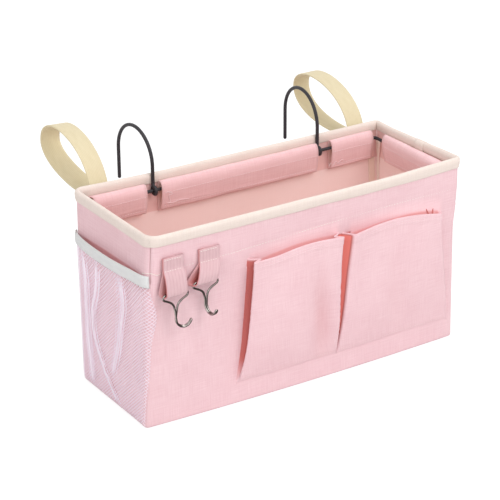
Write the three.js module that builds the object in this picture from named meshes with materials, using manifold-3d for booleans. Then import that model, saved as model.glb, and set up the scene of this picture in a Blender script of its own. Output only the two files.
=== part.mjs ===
// Bedside caddy: a sewn canvas bag kept open by a wire ring, with two wire hooks for a bed rail.
// Millimetres. The origin is the middle of the base, X runs along the length, -Y is the front, +Z is up.
import * as THREE from 'three';
import { mergeVertices } from 'three/addons/utils/BufferGeometryUtils.js';
import Module from 'manifold-3d';

// Bag
const bagLength = 350;
const bagDepth = 136;
const bagHeight = 200;
const cornerRadius = 10;
const canvas = 2; // wall cloth with its stiff lining
const seamGap = 0.3; // between two sewn pieces

// Tapes
const tape = 0.8;
const bindingOutside = 11;
const bindingInside = 10;
const baseTapeHeight = 8;

// Base
const boardThickness = 3;
const liningThickness = 0.8;

// Frame wire and its sleeves
const frameRod = 3.4;
const frameBend = 5;
const frameEndGap = 2;
const ferruleLength = 30;
const ferruleWall = 0.5;
const ferruleGap = 0.3;
const sleeveCloth = 1.2;
const sleeveClearance = 0.4;
const sleeveSlackAbove = 1.8; // room in the tunnel over the joining tube
const sleeveSlackBelow = 5.3;
const sleeveFlap = 16; // below the stitch that closes the tunnel
const sleeveHookGap = 20;
const rightGapShift = 6.5; // the right gap is sewn further out than its hook

// Bed hooks
const hookRod = 3.4;
const hookSpacing = 194;
const hookSpan = 64; // riser to back leg
const hookStraight = 7.2; // rim to the start of the arch
const hookTail = 11; // the back leg ends this far below the frame wire
const eyeClearance = 0.35;

// Strap loops on the back
const webbing = 1.5;
const strapWidth = 20;
const strapInset = 24; // end of the bag to the strap's middle
const strapReach = 104.5;
const strapLean = 4; // the upper strand leaves the root almost upright
const strapCrown = 50; // pull of the upper strand above the root
const strapTipCrown = 57; // the same at the far end
const strapTipRise = 25; // the far end stands this far above the root
const strapTipDrop = 4; // pull of the lower strand below the root, at the far end
const strapSag = 9; // the same nearer the root
const strapSagReach = 40;
const strapRootGap = 0.7; // from the sewn ends, along Y
const strapRootDrop = 2.6; // below the binding
const strapRootClear = 1.2; // root to the sewn ends, along Z
const strapSewnLength = 30;

// Tabs and key hooks on the front
const tabWidth = 20.5;
const tabInset = 24; // end of the bag to the first tab's middle
const tabPitch = 38.5;
const tabTopGap = 12; // below the binding
const tabSewnLength = 14;
const tabLoopLengths = { left: 20, right: 15.5 };
const tabFoldRadius = 2.5; // inside the fold
const tabWallGap = 0.4;
const tabRootGap = 0.95;
const keyBar = 2;
const keyBarClearance = 0.3;
const keySideGap = 1.85; // tab to the key hook's arms
const keyArm = 1.8;
const keyArmPull = 9; // the arms run down this far before they turn in
const keyNeck = 3; // half the width where the arms turn down to the stem
const keyNeckDrop = 8.5;
const keyJoint = 12.5; // bar to where the arms close on the stem
const keyStem = 2.6;
const keyStemBottom = 24.5;
const keyHookDepth = 8.5;
const keyHookWidth = 15;
const keyTipTurn = 20; // degrees by which the hook stops short of a half turn
const keyHookTurns = { left: 10, right: 79 }; // degrees, from along the bag towards the front

// Front pockets
const pocketCloth = 1.2;
const pocketTopDrop = 45; // below the rim
const pocketBottom = 25;
const pocketGape = 14;
const pocketTabGap = 29.25; // from the second tab
const pocketWidth = 106.5; // the left one
const pocketValley = 8; // between the two
const pocketEndGap = 17; // to the right end

// Mesh pockets on the ends
const net = 1;
const netTopDrop = 52; // below the rim
const netBow = 7.5;
const netBand = 2;
const netBandHeight = 11.5;

// Facets
const arcSteps = 6;
const rodSides = 10;
const thinSides = 8;
const weldDistance = 1e-4;

// Worked out from the sizes above
const halfLength = bagLength / 2;
const halfDepth = bagDepth / 2;
const wallTop = bagHeight - tape - seamGap;
const liningFloor = canvas + boardThickness;
const eyeRadius = frameRod / 2 + eyeClearance + hookRod / 2;
const frameInset = eyeRadius + hookRod / 2 + eyeClearance;
const frameX = halfLength - canvas - frameInset;
const frameY = halfDepth - canvas - frameInset;
const ferruleRadius = frameRod / 2 + ferruleGap + ferruleWall;
const sleeveRise = ferruleRadius + sleeveSlackAbove + sleeveCloth;
const sleeveDrop = ferruleRadius + sleeveSlackBelow + sleeveCloth;
const sleeveBulge = frameInset + ferruleRadius + sleeveClearance + sleeveCloth;
const frameZ = bagHeight - bindingInside - seamGap - sleeveRise;
const hookX = hookSpacing / 2;
const riserY = halfDepth - canvas - seamGap * 2 - tape - hookRod / 2;
const strapX = halfLength - strapInset;
const strapRootY = halfDepth + webbing * 2 + strapRootGap;
const strapRootZ = bagHeight - bindingOutside - strapRootDrop;
const strapSewnTop = strapRootZ - strapRootClear;
const firstTab = -halfLength + tabInset;
const tabPlaces = { left: firstTab, right: firstTab + tabPitch };
const tabTop = bagHeight - bindingOutside - tabTopGap;
const tabRootY = -(halfDepth + tabWallGap + webbing / 2);
const tabRootZ = tabTop - tabSewnLength - tabRootGap;
const foldLine = tabFoldRadius + webbing / 2;
const keyAxisY = tabRootY - foldLine;
const keyAxisDrop = tabFoldRadius - keyBar / 2 - keyBarClearance; // below the middle of the fold
const keyHalfBar = tabWidth / 2 + keySideGap + keyArm / 2;
const pocketBack = -(halfDepth + seamGap);
const pocketTop = bagHeight - pocketTopDrop;
const pocketStart = tabPlaces.right + tabWidth / 2 + pocketTabGap;
const pocketMiddle = pocketStart + pocketWidth;
const pocketSpans = {
  left: [pocketStart, pocketMiddle],
  right: [pocketMiddle + pocketValley, halfLength - pocketEndGap],
};
const netTop = bagHeight - netTopDrop;
const quarter = Math.PI / 2;
const cornerSigns = [[1, 1], [-1, 1], [-1, -1], [1, -1]];

const wasm = await Module();
wasm.setup();

const canvasPink = new THREE.MeshStandardMaterial({ color: 0xf2c6ca, roughness: 0.9, metalness: 0 });
const liningPink = new THREE.MeshStandardMaterial({ color: 0xe8b4aa, roughness: 0.9, metalness: 0 });
const creamTape = new THREE.MeshStandardMaterial({ color: 0xf5ebe1, roughness: 0.85, metalness: 0 });
const creamWebbing = new THREE.MeshStandardMaterial({ color: 0xeee1b9, roughness: 0.8, metalness: 0 });
const lilacWebbing = new THREE.MeshStandardMaterial({ color: 0xe6b8c6, roughness: 0.75, metalness: 0 });
const blackWire = new THREE.MeshStandardMaterial({ color: 0x353035, roughness: 0.45, metalness: 0.6 });
const brightMetal = new THREE.MeshStandardMaterial({ color: 0xc4c0bc, roughness: 0.2, metalness: 1 });
const whiteNet = new THREE.MeshStandardMaterial({ color: 0xf2d8e6, roughness: 0.7, metalness: 0 });
const greyElastic = new THREE.MeshStandardMaterial({ color: 0xe1e1e1, roughness: 0.8, metalness: 0 });
const greyBoard = new THREE.MeshStandardMaterial({ color: 0xb9b2a8, roughness: 0.8, metalness: 0 });

const caddy = new THREE.Group();

function addPiece(name, geometry, material) {
  const piece = new THREE.Mesh(geometry, material);
  piece.name = name;
  caddy.add(piece);
  return piece;
}

// A solid from rings of points: side faces between neighbours, and flat ends unless it closes on itself.
function loft(rings, closed = false) {
  const count = rings[0].length;
  const corners = [];
  const addTriangle = (a, b, c) => corners.push(a, b, c);
  const spans = closed ? rings.length : rings.length - 1;
  for (let i = 0; i < spans; i += 1) {
    const here = rings[i];
    const next = rings[(i + 1) % rings.length];
    for (let j = 0; j < count; j += 1) {
      const k = (j + 1) % count;
      addTriangle(here[j], here[k], next[k]);
      addTriangle(here[j], next[k], next[j]);
    }
  }
  if (!closed) {
    const last = rings[rings.length - 1];
    for (const [a, b, c] of endTriangles(rings[0])) addTriangle(rings[0][c], rings[0][b], rings[0][a]);
    for (const [a, b, c] of endTriangles(last)) addTriangle(last[a], last[b], last[c]);
  }
  if (signedVolume(corners) < 0) corners.reverse();
  return new THREE.BufferGeometry().setFromPoints(corners);
}

// Splits one flat ring into triangles that turn the same way as the ring.
function endTriangles(ring) {
  const normal = new THREE.Vector3();
  for (let i = 0; i < ring.length; i += 1) {
    normal.add(new THREE.Vector3().crossVectors(ring[i], ring[(i + 1) % ring.length]));
  }
  normal.normalize();
  const across = new THREE.Vector3().subVectors(ring[1], ring[0]).normalize();
  const along = new THREE.Vector3().crossVectors(normal, across);
  const flat = ring.map((p) => new THREE.Vector2(p.dot(across), p.dot(along)));
  return THREE.ShapeUtils.triangulateShape(flat, []);
}

function signedVolume(corners) {
  const side = new THREE.Vector3();
  let sum = 0;
  for (let i = 0; i < corners.length; i += 3) {
    sum += corners[i].dot(side.crossVectors(corners[i + 1], corners[i + 2]));
  }
  return sum / 6;
}

// Stations round a rounded rectangle: each gives the point at an offset outside the line.
function roundedStations(halfX, halfY, radius) {
  return cornerSigns.flatMap((_, corner) =>
    cornerStations(halfX, halfY, radius, corner, corner * quarter, (corner + 1) * quarter),
  );
}

function cornerStations(halfX, halfY, radius, corner, fromAngle, toAngle) {
  const [sx, sy] = cornerSigns[corner];
  const stations = [];
  for (let k = 0; k <= arcSteps; k += 1) {
    const angle = fromAngle + ((toAngle - fromAngle) * k) / arcSteps;
    stations.push(station(sx * (halfX - radius), sy * (halfY - radius), radius, angle));
  }
  return stations;
}

function station(centreX, centreY, radius, angle) {
  const nx = Math.cos(angle);
  const ny = Math.sin(angle);
  return (offset, z) =>
    new THREE.Vector3(centreX + nx * (radius + offset), centreY + ny * (radius + offset), z);
}

function bagStations() {
  return roundedStations(halfLength, halfDepth, cornerRadius);
}

function bagCorner(corner, fromAngle, toAngle) {
  return cornerStations(halfLength, halfDepth, cornerRadius, corner, fromAngle, toAngle);
}

// A band round the bag with the given section of [offset, z] points.
function bandRoundBag(section) {
  return loft(bagStations().map((at) => section.map(([offset, z]) => at(offset, z))), true);
}

// A flat plate with the bag's outline, drawn in by an inset.
function basePlate(inset, bottom, top) {
  const outline = bagStations().map((at) => at(-inset, 0));
  return extrudeUp(outline, bottom, top);
}

function extrudeUp(outline, bottom, top) {
  const shape = new THREE.Shape(outline.map((p) => new THREE.Vector2(p.x, p.y)));
  const solid = new THREE.ExtrudeGeometry(shape, { depth: top - bottom, bevelEnabled: false });
  return solid.translate(0, 0, bottom);
}

// Extrudes an outline of [y, z] points along X, with an optional hole.
function extrudeAcross(outline, fromX, toX, hole) {
  const corners = outline.map(([y, z]) => new THREE.Vector2(y, z));
  if (THREE.ShapeUtils.isClockWise(corners)) corners.reverse();
  const shape = new THREE.Shape(corners);
  if (hole) shape.holes.push(new THREE.Path(hole.map(([y, z]) => new THREE.Vector2(y, z))));
  const solid = new THREE.ExtrudeGeometry(shape, { depth: toX - fromX, bevelEnabled: false });
  const turn = new THREE.Matrix4().makeBasis(
    new THREE.Vector3(0, 1, 0),
    new THREE.Vector3(0, 0, 1),
    new THREE.Vector3(1, 0, 0),
  );
  return solid.applyMatrix4(turn).translate(fromX, 0, 0);
}

// A round rod along a flat path of points; side is the direction square to the path's plane.
function rod(path, diameter, side, sides = rodSides, closed = false) {
  const last = path.length - 1;
  const rings = path.map((point, i) => {
    const before = closed ? path[(i + last) % path.length] : path[Math.max(i - 1, 0)];
    const after = closed ? path[(i + 1) % path.length] : path[Math.min(i + 1, last)];
    const tangent = new THREE.Vector3().subVectors(after, before).normalize();
    const normal = new THREE.Vector3().crossVectors(side, tangent);
    return circleRing(point, normal, side, diameter / 2, sides);
  });
  return loft(rings, closed);
}

function circleRing(centre, axisA, axisB, radius, sides) {
  const ring = [];
  for (let k = 0; k < sides; k += 1) {
    const angle = (k / sides) * Math.PI * 2;
    const point = centre.clone();
    point.addScaledVector(axisA, radius * Math.cos(angle));
    point.addScaledVector(axisB, radius * Math.sin(angle));
    ring.push(point);
  }
  return ring;
}

function toSolid(geometry) {
  const bare = geometry.clone();
  bare.deleteAttribute('normal');
  bare.deleteAttribute('uv');
  const merged = mergeVertices(bare, weldDistance);
  return new wasm.Manifold(
    new wasm.Mesh({
      numProp: 3,
      vertProperties: merged.attributes.position.array,
      triVerts: new Uint32Array(merged.index.array),
    }),
  );
}

function toGeometry(solid) {
  const mesh = solid.getMesh();
  const geometry = new THREE.BufferGeometry();
  geometry.setAttribute('position', new THREE.BufferAttribute(new Float32Array(mesh.vertProperties), 3));
  geometry.setIndex(new THREE.BufferAttribute(new Uint32Array(mesh.triVerts), 1));
  return geometry;
}

function join(geometries) {
  const solids = geometries.map(toSolid);
  return toGeometry(solids.reduce((sum, next) => sum.add(next)));
}

// The four walls meet on the diagonal of each round corner, where the upright seams are.
function addWalls() {
  const walls = ['right_end_panel', 'back_panel', 'left_end_panel', 'front_panel'];
  const halfTurn = quarter / 2 - seamGap / 2 / (cornerRadius - canvas);
  walls.forEach((name, side) => {
    const middle = side * quarter;
    const before = (side + walls.length - 1) % walls.length;
    const stations = [
      ...bagCorner(before, middle - halfTurn, middle),
      ...bagCorner(side, middle, middle + halfTurn),
    ];
    const outer = stations.map((at) => at(0, 0));
    const inner = stations.map((at) => at(-canvas, 0)).reverse();
    addPiece(name, extrudeUp([...outer, ...inner], canvas, wallTop), canvasPink);
  });
}

function addBase() {
  const tapeOutside = canvas + seamGap;
  const tapeInside = tapeOutside + tape;
  const boardInset = tapeInside + seamGap;
  const liningTop = liningFloor + liningThickness;
  const tapeBottom = canvas + seamGap;
  const tapeTop = tapeBottom + baseTapeHeight;
  const tapeSection = [
    [-tapeOutside, tapeBottom],
    [-tapeOutside, tapeTop],
    [-tapeInside, tapeTop],
    [-tapeInside, tapeBottom],
  ];
  addPiece('bottom_panel', basePlate(0, 0, canvas), canvasPink);
  addPiece('base_seam_tape', bandRoundBag(tapeSection), creamTape);
  addPiece('base_board', basePlate(boardInset, canvas, liningFloor), greyBoard);
  addPiece('floor_lining', basePlate(boardInset, liningFloor, liningTop), liningPink);
}

function addRimBinding() {
  const outsideFoot = bagHeight - bindingOutside;
  const insideFoot = bagHeight - bindingInside;
  const under = bagHeight - tape;
  const outer = seamGap;
  const inner = -(canvas + seamGap);
  const section = [
    [outer + tape, outsideFoot],
    [outer + tape, bagHeight],
    [inner - tape, bagHeight],
    [inner - tape, insideFoot],
    [inner, insideFoot],
    [inner, under],
    [outer, under],
    [outer, outsideFoot],
  ];
  addPiece('rim_binding', bandRoundBag(section), creamTape);
}

// A strip of tape down the inside of each upright corner.
function addCornerTapes() {
  const corners = ['back_right', 'back_left', 'front_left', 'front_right'];
  const bottom = canvas + seamGap + baseTapeHeight + seamGap;
  const top = bagHeight - bindingInside - seamGap;
  const outside = -(canvas + seamGap);
  corners.forEach((place, corner) => {
    const stations = bagCorner(corner, corner * quarter, (corner + 1) * quarter);
    const outer = stations.map((at) => at(outside, 0));
    const inner = stations.map((at) => at(outside - tape, 0)).reverse();
    addPiece(`${place}_corner_tape`, extrudeUp([...outer, ...inner], bottom, top), creamTape);
  });
}

// One rod bent round all four sides; its two ends meet in a tube at the middle of the front.
function addFrameWire() {
  const round = roundedStations(frameX, frameY, frameBend);
  const up = new THREE.Vector3(0, 0, 1);
  const lastBeforeFront = 3 * (arcSteps + 1);
  const order = [...round.slice(lastBeforeFront), ...round.slice(0, lastBeforeFront)];
  const path = order.map((at) => at(0, frameZ));
  path.unshift(new THREE.Vector3(frameEndGap / 2, -frameY, frameZ));
  path.push(new THREE.Vector3(-frameEndGap / 2, -frameY, frameZ));
  addPiece('frame_wire', rod(path, frameRod, up), blackWire);

  const bore = frameRod / 2 + ferruleGap;
  const wall = [
    new THREE.Vector2(bore, -ferruleLength / 2),
    new THREE.Vector2(ferruleRadius, -ferruleLength / 2),
    new THREE.Vector2(ferruleRadius, ferruleLength / 2),
    new THREE.Vector2(bore, ferruleLength / 2),
    new THREE.Vector2(bore, -ferruleLength / 2),
  ];
  const tube = addPiece('frame_joining_tube', new THREE.LatheGeometry(wall, rodSides * 2), blackWire);
  tube.rotation.z = quarter;
  tube.position.set(0, -frameY, frameZ);
}

// Section of a sleeve as [distance into the bag, z]: a tunnel round the frame wire and a flap below it.
function sleeveSection() {
  const seat = seamGap;
  const arc = (reach, height, from, to) => {
    const points = [];
    for (let k = 0; k <= arcSteps; k += 1) {
      const angle = from + ((to - from) * k) / arcSteps;
      points.push([seat + reach * Math.cos(angle), frameZ + height * Math.sin(angle)]);
    }
    return points;
  };
  const outerReach = sleeveBulge - seat;
  const innerReach = outerReach - sleeveCloth;
  const flapBottom = frameZ - sleeveDrop - sleeveFlap;
  const lowerOuter = arc(outerReach - sleeveCloth, sleeveDrop, 0, -quarter);
  return [
    ...arc(outerReach, sleeveRise, quarter, 0),
    ...lowerOuter.slice(1).map(([n, z]) => [n + sleeveCloth, z]),
    [seat + sleeveCloth, flapBottom],
    [seat, flapBottom],
    ...arc(innerReach, sleeveDrop - sleeveCloth, -quarter, 0),
    ...arc(innerReach, sleeveRise - sleeveCloth, 0, quarter).slice(1),
  ];
}

// Sleeves run along the straight walls; the back one leaves a gap at each bed hook.
function addSleeves() {
  const innerX = halfLength - canvas;
  const innerY = halfDepth - canvas;
  const cornerRoom = Math.max(
    frameInset + frameBend,
    sleeveBulge + seamGap,
    cornerRadius - canvas + seamGap,
  );
  const endX = innerX - cornerRoom;
  const endY = innerY - cornerRoom;
  const halfGap = sleeveHookGap / 2;
  const sleeves = [
    ['back_sleeve_left', 0, 0, innerY, -endX, -hookX - halfGap],
    ['back_sleeve_middle', 0, 0, innerY, -hookX + halfGap, hookX + rightGapShift - halfGap],
    ['back_sleeve_right', 0, 0, innerY, hookX + rightGapShift + halfGap, endX],
    ['left_sleeve', 1, -innerX, 0, -endY, endY],
    ['front_sleeve', 2, 0, -innerY, -endX, endX],
    ['right_sleeve', 3, innerX, 0, -endY, endY],
  ];
  const section = sleeveSection().map(([n, z]) => [-n, z]);
  for (const [name, turns, x, y, from, to] of sleeves) {
    const sleeve = addPiece(name, extrudeAcross(section, from, to), canvasPink);
    sleeve.rotation.z = turns * quarter;
    sleeve.position.set(x, y, 0);
  }
}

// An eye round the frame wire, a riser against the binding, an arch over the rail and a back leg.
function bedHook() {
  const side = new THREE.Vector3(1, 0, 0);
  const eyeSteps = arcSteps * 4;
  const eye = [];
  for (let k = 0; k < eyeSteps; k += 1) {
    const angle = (k / eyeSteps) * quarter * 4;
    eye.push(new THREE.Vector3(0, frameY + eyeRadius * Math.cos(angle), frameZ + eyeRadius * Math.sin(angle)));
  }
  const archRadius = hookSpan / 2;
  const archZ = bagHeight + hookStraight;
  const jogFoot = frameZ + eyeRadius;
  const jogHead = bagHeight;
  const path = [];
  for (let k = 0; k <= arcSteps; k += 1) {
    const share = k / arcSteps;
    const ease = (1 - Math.cos(share * Math.PI)) / 2;
    const y = frameY + (riserY - frameY) * ease;
    path.push(new THREE.Vector3(0, y, jogFoot + (jogHead - jogFoot) * share));
  }
  for (let k = 0; k <= arcSteps * 2; k += 1) {
    const angle = Math.PI * (1 - k / (arcSteps * 2));
    const y = riserY + archRadius + archRadius * Math.cos(angle);
    path.push(new THREE.Vector3(0, y, archZ + archRadius * Math.sin(angle)));
  }
  path.push(new THREE.Vector3(0, riserY + hookSpan, frameZ - hookTail));
  return join([rod(eye, hookRod, side, rodSides, true), rod(path, hookRod, side)]);
}

function addBedHooks() {
  for (const [place, x] of [['left', -hookX], ['right', hookX]]) {
    const hook = addPiece(`bed_hook_${place}`, bedHook(), blackWire);
    hook.position.x = x;
  }
}

// A strip of webbing along a path of [y, z] points that starts and ends at its root, as one loop.
function webbingLoop(path, width) {
  const last = path.length - 1;
  const unit = (a, b) => {
    const length = Math.hypot(b[0] - a[0], b[1] - a[1]);
    return [(b[0] - a[0]) / length, (b[1] - a[1]) / length];
  };
  const shifted = (i, distance) => {
    const [ty, tz] = unit(path[Math.max(i - 1, 0)], path[Math.min(i + 1, last)]);
    return [path[i][0] + tz * distance, path[i][1] - ty * distance];
  };
  const leave = unit(path[0], path[1]);
  const arrive = unit(path[last], path[last - 1]);
  const middle = unit([0, 0], [leave[0] + arrive[0], leave[1] + arrive[1]]);
  const halfAngle = Math.acos(leave[0] * middle[0] + leave[1] * middle[1]);
  const crotch = webbing / 2 / Math.sin(halfAngle);
  const turn = leave[0] * arrive[1] - leave[1] * arrive[0] > 0 ? 1 : -1;
  const outer = path.map((_, i) => shifted(i, (turn * webbing) / 2));
  const inner = path.slice(1, last).map((_, i) => shifted(i + 1, (-turn * webbing) / 2));
  inner.unshift([path[0][0] + middle[0] * crotch, path[0][1] + middle[1] * crotch]);
  return extrudeAcross(outer, -width / 2, width / 2, inner);
}

// Upper strand rises from the root and turns down at the far end; the lower strand sags back to the root.
function strapPath() {
  const at = (y, z) => new THREE.Vector2(strapRootY + y, strapRootZ + z);
  const root = at(0, 0);
  const tip = at(strapReach, strapTipRise);
  const upper = new THREE.CubicBezierCurve(
    root,
    at(strapLean, strapCrown),
    at(strapReach, strapTipCrown),
    tip,
  );
  const lower = new THREE.CubicBezierCurve(
    tip,
    at(strapReach, -strapTipDrop),
    at(strapSagReach, -strapSag),
    root,
  );
  const points = [...upper.getPoints(arcSteps * 2), ...lower.getPoints(arcSteps * 2).slice(1)];
  return points.map((p) => [p.x, p.y]);
}

function addStraps() {
  const sewnEnd = [
    [halfDepth, strapSewnTop - strapSewnLength],
    [halfDepth + webbing * 2, strapSewnTop - strapSewnLength],
    [halfDepth + webbing * 2, strapSewnTop],
    [halfDepth, strapSewnTop],
  ];
  for (const [place, x] of [['left', -strapX], ['right', strapX]]) {
    const anchor = extrudeAcross(sewnEnd, x - strapWidth / 2, x + strapWidth / 2);
    addPiece(`strap_sewn_end_${place}`, anchor, creamWebbing);
    const loop = addPiece(`strap_loop_${place}`, webbingLoop(strapPath(), strapWidth), creamWebbing);
    loop.position.x = x;
  }
}

// Down the wall, round the fold that carries the key hook, and back up to the root.
function tabPath(loopLength) {
  const foldY = tabRootY - foldLine;
  const foldZ = tabRootZ - loopLength;
  const path = [[tabRootY, tabRootZ]];
  for (let k = 0; k <= arcSteps * 2; k += 1) {
    const angle = (Math.PI * k) / (arcSteps * 2);
    path.push([foldY + foldLine * Math.cos(angle), foldZ - foldLine * Math.sin(angle)]);
  }
  path.push([tabRootY, tabRootZ]);
  return path;
}

function addTabs() {
  const sewnTop = [
    [-halfDepth, tabTop - tabSewnLength],
    [-halfDepth, tabTop],
    [-halfDepth - webbing * 2, tabTop],
    [-halfDepth - webbing * 2, tabTop - tabSewnLength],
  ];
  for (const [place, x] of Object.entries(tabPlaces)) {
    const anchor = extrudeAcross(sewnTop, x - tabWidth / 2, x + tabWidth / 2);
    addPiece(`tab_sewn_top_${place}`, anchor, lilacWebbing);
    const path = tabPath(tabLoopLengths[place]);
    const loop = addPiece(`tab_loop_${place}`, webbingLoop(path, tabWidth), lilacWebbing);
    loop.position.x = x;
  }
}

// A bar in the fold, two arms that close on a stem, and a hook turned about the stem.
function keyHook(turn, axisZ) {
  const side = new THREE.Vector3(0, 1, 0);
  const turnAngle = THREE.MathUtils.degToRad(turn);
  const hookReach = new THREE.Vector3(Math.cos(turnAngle), -Math.sin(turnAngle), 0);
  const hookSide = new THREE.Vector3(Math.sin(turnAngle), Math.cos(turnAngle), 0);
  const at = (x, z) => new THREE.Vector3(x, keyAxisY, axisZ + z);
  const barEnd = keyHalfBar + keyArm / 2;
  const arm = (sign) =>
    new THREE.CubicBezierCurve3(
      at(sign * keyHalfBar, 0),
      at(sign * keyHalfBar, -keyArmPull),
      at(sign * keyNeck, -keyNeckDrop),
      at(0, -keyJoint),
    ).getPoints(arcSteps * 2);
  const hookRadius = keyHookWidth / 2;
  const hookEnd = Math.PI - THREE.MathUtils.degToRad(keyTipTurn);
  const hook = [at(0, keyStem - keyJoint)];
  for (let k = 0; k <= arcSteps * 2; k += 1) {
    const angle = (hookEnd * k) / (arcSteps * 2);
    const point = at(0, -keyStemBottom - keyHookDepth * Math.sin(angle));
    hook.push(point.addScaledVector(hookReach, hookRadius * (1 - Math.cos(angle))));
  }
  return join([
    rod([at(-barEnd, 0), at(barEnd, 0)], keyBar, side, thinSides),
    rod(arm(-1), keyArm, side, thinSides),
    rod(arm(1), keyArm, side, thinSides),
    rod(hook, keyStem, hookSide, thinSides),
  ]);
}

function addKeyHooks() {
  for (const [place, x] of Object.entries(tabPlaces)) {
    const axisZ = tabRootZ - tabLoopLengths[place] - keyAxisDrop;
    const hook = addPiece(`key_hook_${place}`, keyHook(keyHookTurns[place], axisZ), brightMetal);
    hook.position.x = x;
  }
}

// A bellows pocket: sewn flat at the bottom, standing out at the top, with a gusset at each side.
function addFrontPockets() {
  const mouth = pocketBack - pocketGape;
  const lean = (pocketGape - pocketCloth) / (pocketTop - pocketBottom);
  const above = pocketTop + pocketCloth;
  const outer = [
    [pocketBack, pocketBottom],
    [pocketBack - pocketCloth, pocketBottom],
    [mouth, pocketTop],
    [pocketBack, pocketTop],
  ];
  const inner = [
    [pocketBack, pocketBottom],
    [mouth + pocketCloth - lean * pocketCloth, above],
    [pocketBack + pocketCloth, above],
    [pocketBack + pocketCloth, pocketBottom],
  ];
  for (const [place, [from, to]] of Object.entries(pocketSpans)) {
    const block = toSolid(extrudeAcross(outer, from, to));
    const room = toSolid(extrudeAcross(inner, from + pocketCloth, to - pocketCloth));
    addPiece(`front_pocket_${place}`, toGeometry(block.subtract(room)), canvasPink);
  }
}

// A net over each end, bowed out at the top, and the elastic band above it.
function addMeshPockets() {
  const halfNet = halfDepth - cornerRadius;
  const netBottom = canvas;
  const bow = (y, z) => {
    const height = Math.min((z - netBottom) / (netTop - netBottom), 1);
    return netBow * Math.cos((y / halfNet) * quarter) * Math.sin(height * quarter);
  };
  const wall = halfLength + seamGap;
  const stationsY = [];
  for (let k = 0; k <= arcSteps * 2; k += 1) stationsY.push(halfNet * (k / arcSteps - 1));
  const levels = [];
  for (let k = 0; k <= arcSteps; k += 1) levels.push(netBottom + ((netTop - netBottom) * k) / arcSteps);
  const bandLevels = [netTop + seamGap, netTop + seamGap + netBandHeight];
  const bowedSheet = (heights, thickness) =>
    loft(
      stationsY.map((y) => {
        const near = heights.map((z) => new THREE.Vector3(wall + bow(y, z), y, z));
        const far = heights.map((z) => new THREE.Vector3(wall + bow(y, z) + thickness, y, z));
        return [...near, ...far.reverse()];
      }),
    );
  for (const [place, turns] of [['left', 2], ['right', 0]]) {
    const pocket = addPiece(`mesh_pocket_${place}`, bowedSheet(levels, net), whiteNet);
    pocket.rotation.z = turns * quarter;
    const band = addPiece(`mesh_binding_${place}`, bowedSheet(bandLevels, netBand), greyElastic);
    band.rotation.z = turns * quarter;
  }
}

addWalls();
addBase();
addRimBinding();
addCornerTapes();
addFrameWire();
addSleeves();
addBedHooks();
addStraps();
addTabs();
addKeyHooks();
addFrontPockets();
addMeshPockets();

export default caddy;
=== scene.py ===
import math
import random

import bmesh
import bpy
import numpy as np
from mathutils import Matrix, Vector


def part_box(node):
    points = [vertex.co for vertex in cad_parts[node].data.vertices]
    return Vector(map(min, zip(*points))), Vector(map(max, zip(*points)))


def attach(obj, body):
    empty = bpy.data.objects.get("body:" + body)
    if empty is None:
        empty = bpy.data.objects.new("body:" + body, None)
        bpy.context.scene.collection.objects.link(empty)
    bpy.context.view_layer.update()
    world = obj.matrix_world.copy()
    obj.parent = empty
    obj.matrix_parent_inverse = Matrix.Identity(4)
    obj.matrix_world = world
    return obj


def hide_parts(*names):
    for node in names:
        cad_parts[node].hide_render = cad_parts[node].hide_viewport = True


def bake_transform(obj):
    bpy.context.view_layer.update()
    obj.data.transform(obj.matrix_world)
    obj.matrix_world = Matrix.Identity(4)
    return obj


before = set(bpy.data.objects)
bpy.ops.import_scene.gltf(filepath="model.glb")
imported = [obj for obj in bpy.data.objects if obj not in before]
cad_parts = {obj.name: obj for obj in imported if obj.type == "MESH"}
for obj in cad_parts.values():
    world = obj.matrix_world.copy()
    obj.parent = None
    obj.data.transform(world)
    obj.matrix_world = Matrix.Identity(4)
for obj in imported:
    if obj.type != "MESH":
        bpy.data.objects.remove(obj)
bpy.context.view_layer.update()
mm = 0.001  # every size below is in millimetres
print("frame loaded")


def nodeBox(node):
    low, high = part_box(node)
    return np.array(low) / mm, np.array(high) / mm


# Camera, fitted to the corners of the rim and the base; the image is 500 pixels wide
photoView = {
    "target": (0, 0, 100),
    "distance": 2000,
    "azimuth": -32.54,
    "elevation": 25.22,
    "focalPixels": 2003,
    "imagePixels": 500,
    "shiftPixels": (20.9, 17.5),  # the object sits right of and below the middle
}


def makeCamera():
    turn = math.radians(photoView["azimuth"])
    lift = math.radians(photoView["elevation"])
    back = Vector((math.sin(turn) * math.cos(lift), -math.cos(turn) * math.cos(lift), math.sin(lift)))
    data = bpy.data.cameras.new("photoCamera")
    data.lens = data.sensor_width * photoView["focalPixels"] / photoView["imagePixels"]
    data.shift_x = -photoView["shiftPixels"][0] / photoView["imagePixels"]
    data.shift_y = photoView["shiftPixels"][1] / photoView["imagePixels"]
    data.clip_end = 100
    camera = bpy.data.objects.new("photoCamera", data)
    camera.location = (Vector(photoView["target"]) + back * photoView["distance"]) * mm
    camera.rotation_mode = "QUATERNION"
    camera.rotation_quaternion = (-back).to_track_quat("-Z", "Y")
    bpy.context.collection.objects.link(camera)
    bpy.context.scene.camera = camera


makeCamera()


# Shader maths: a socket that takes part in Python expressions
class Tone:
    def __init__(self, finish, socket):
        self.finish = finish
        self.socket = socket

    def other(self, name):
        return Tone(self.finish, self.socket.node.outputs[name])

    def math(self, operation, first, second=0.0):
        return self.finish.node("ShaderNodeMath", {"operation": operation}, {0: first, 1: second})

    def __add__(self, value):
        return self.math("ADD", self, value)

    def __sub__(self, value):
        return self.math("SUBTRACT", self, value)

    def __rsub__(self, value):
        return self.math("SUBTRACT", value, self)

    def __mul__(self, value):
        return self.math("MULTIPLY", self, value)

    __radd__ = __add__
    __rmul__ = __mul__

    def sin(self):
        return self.math("SINE", self)

    def size(self):
        return self.math("ABSOLUTE", self)


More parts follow.
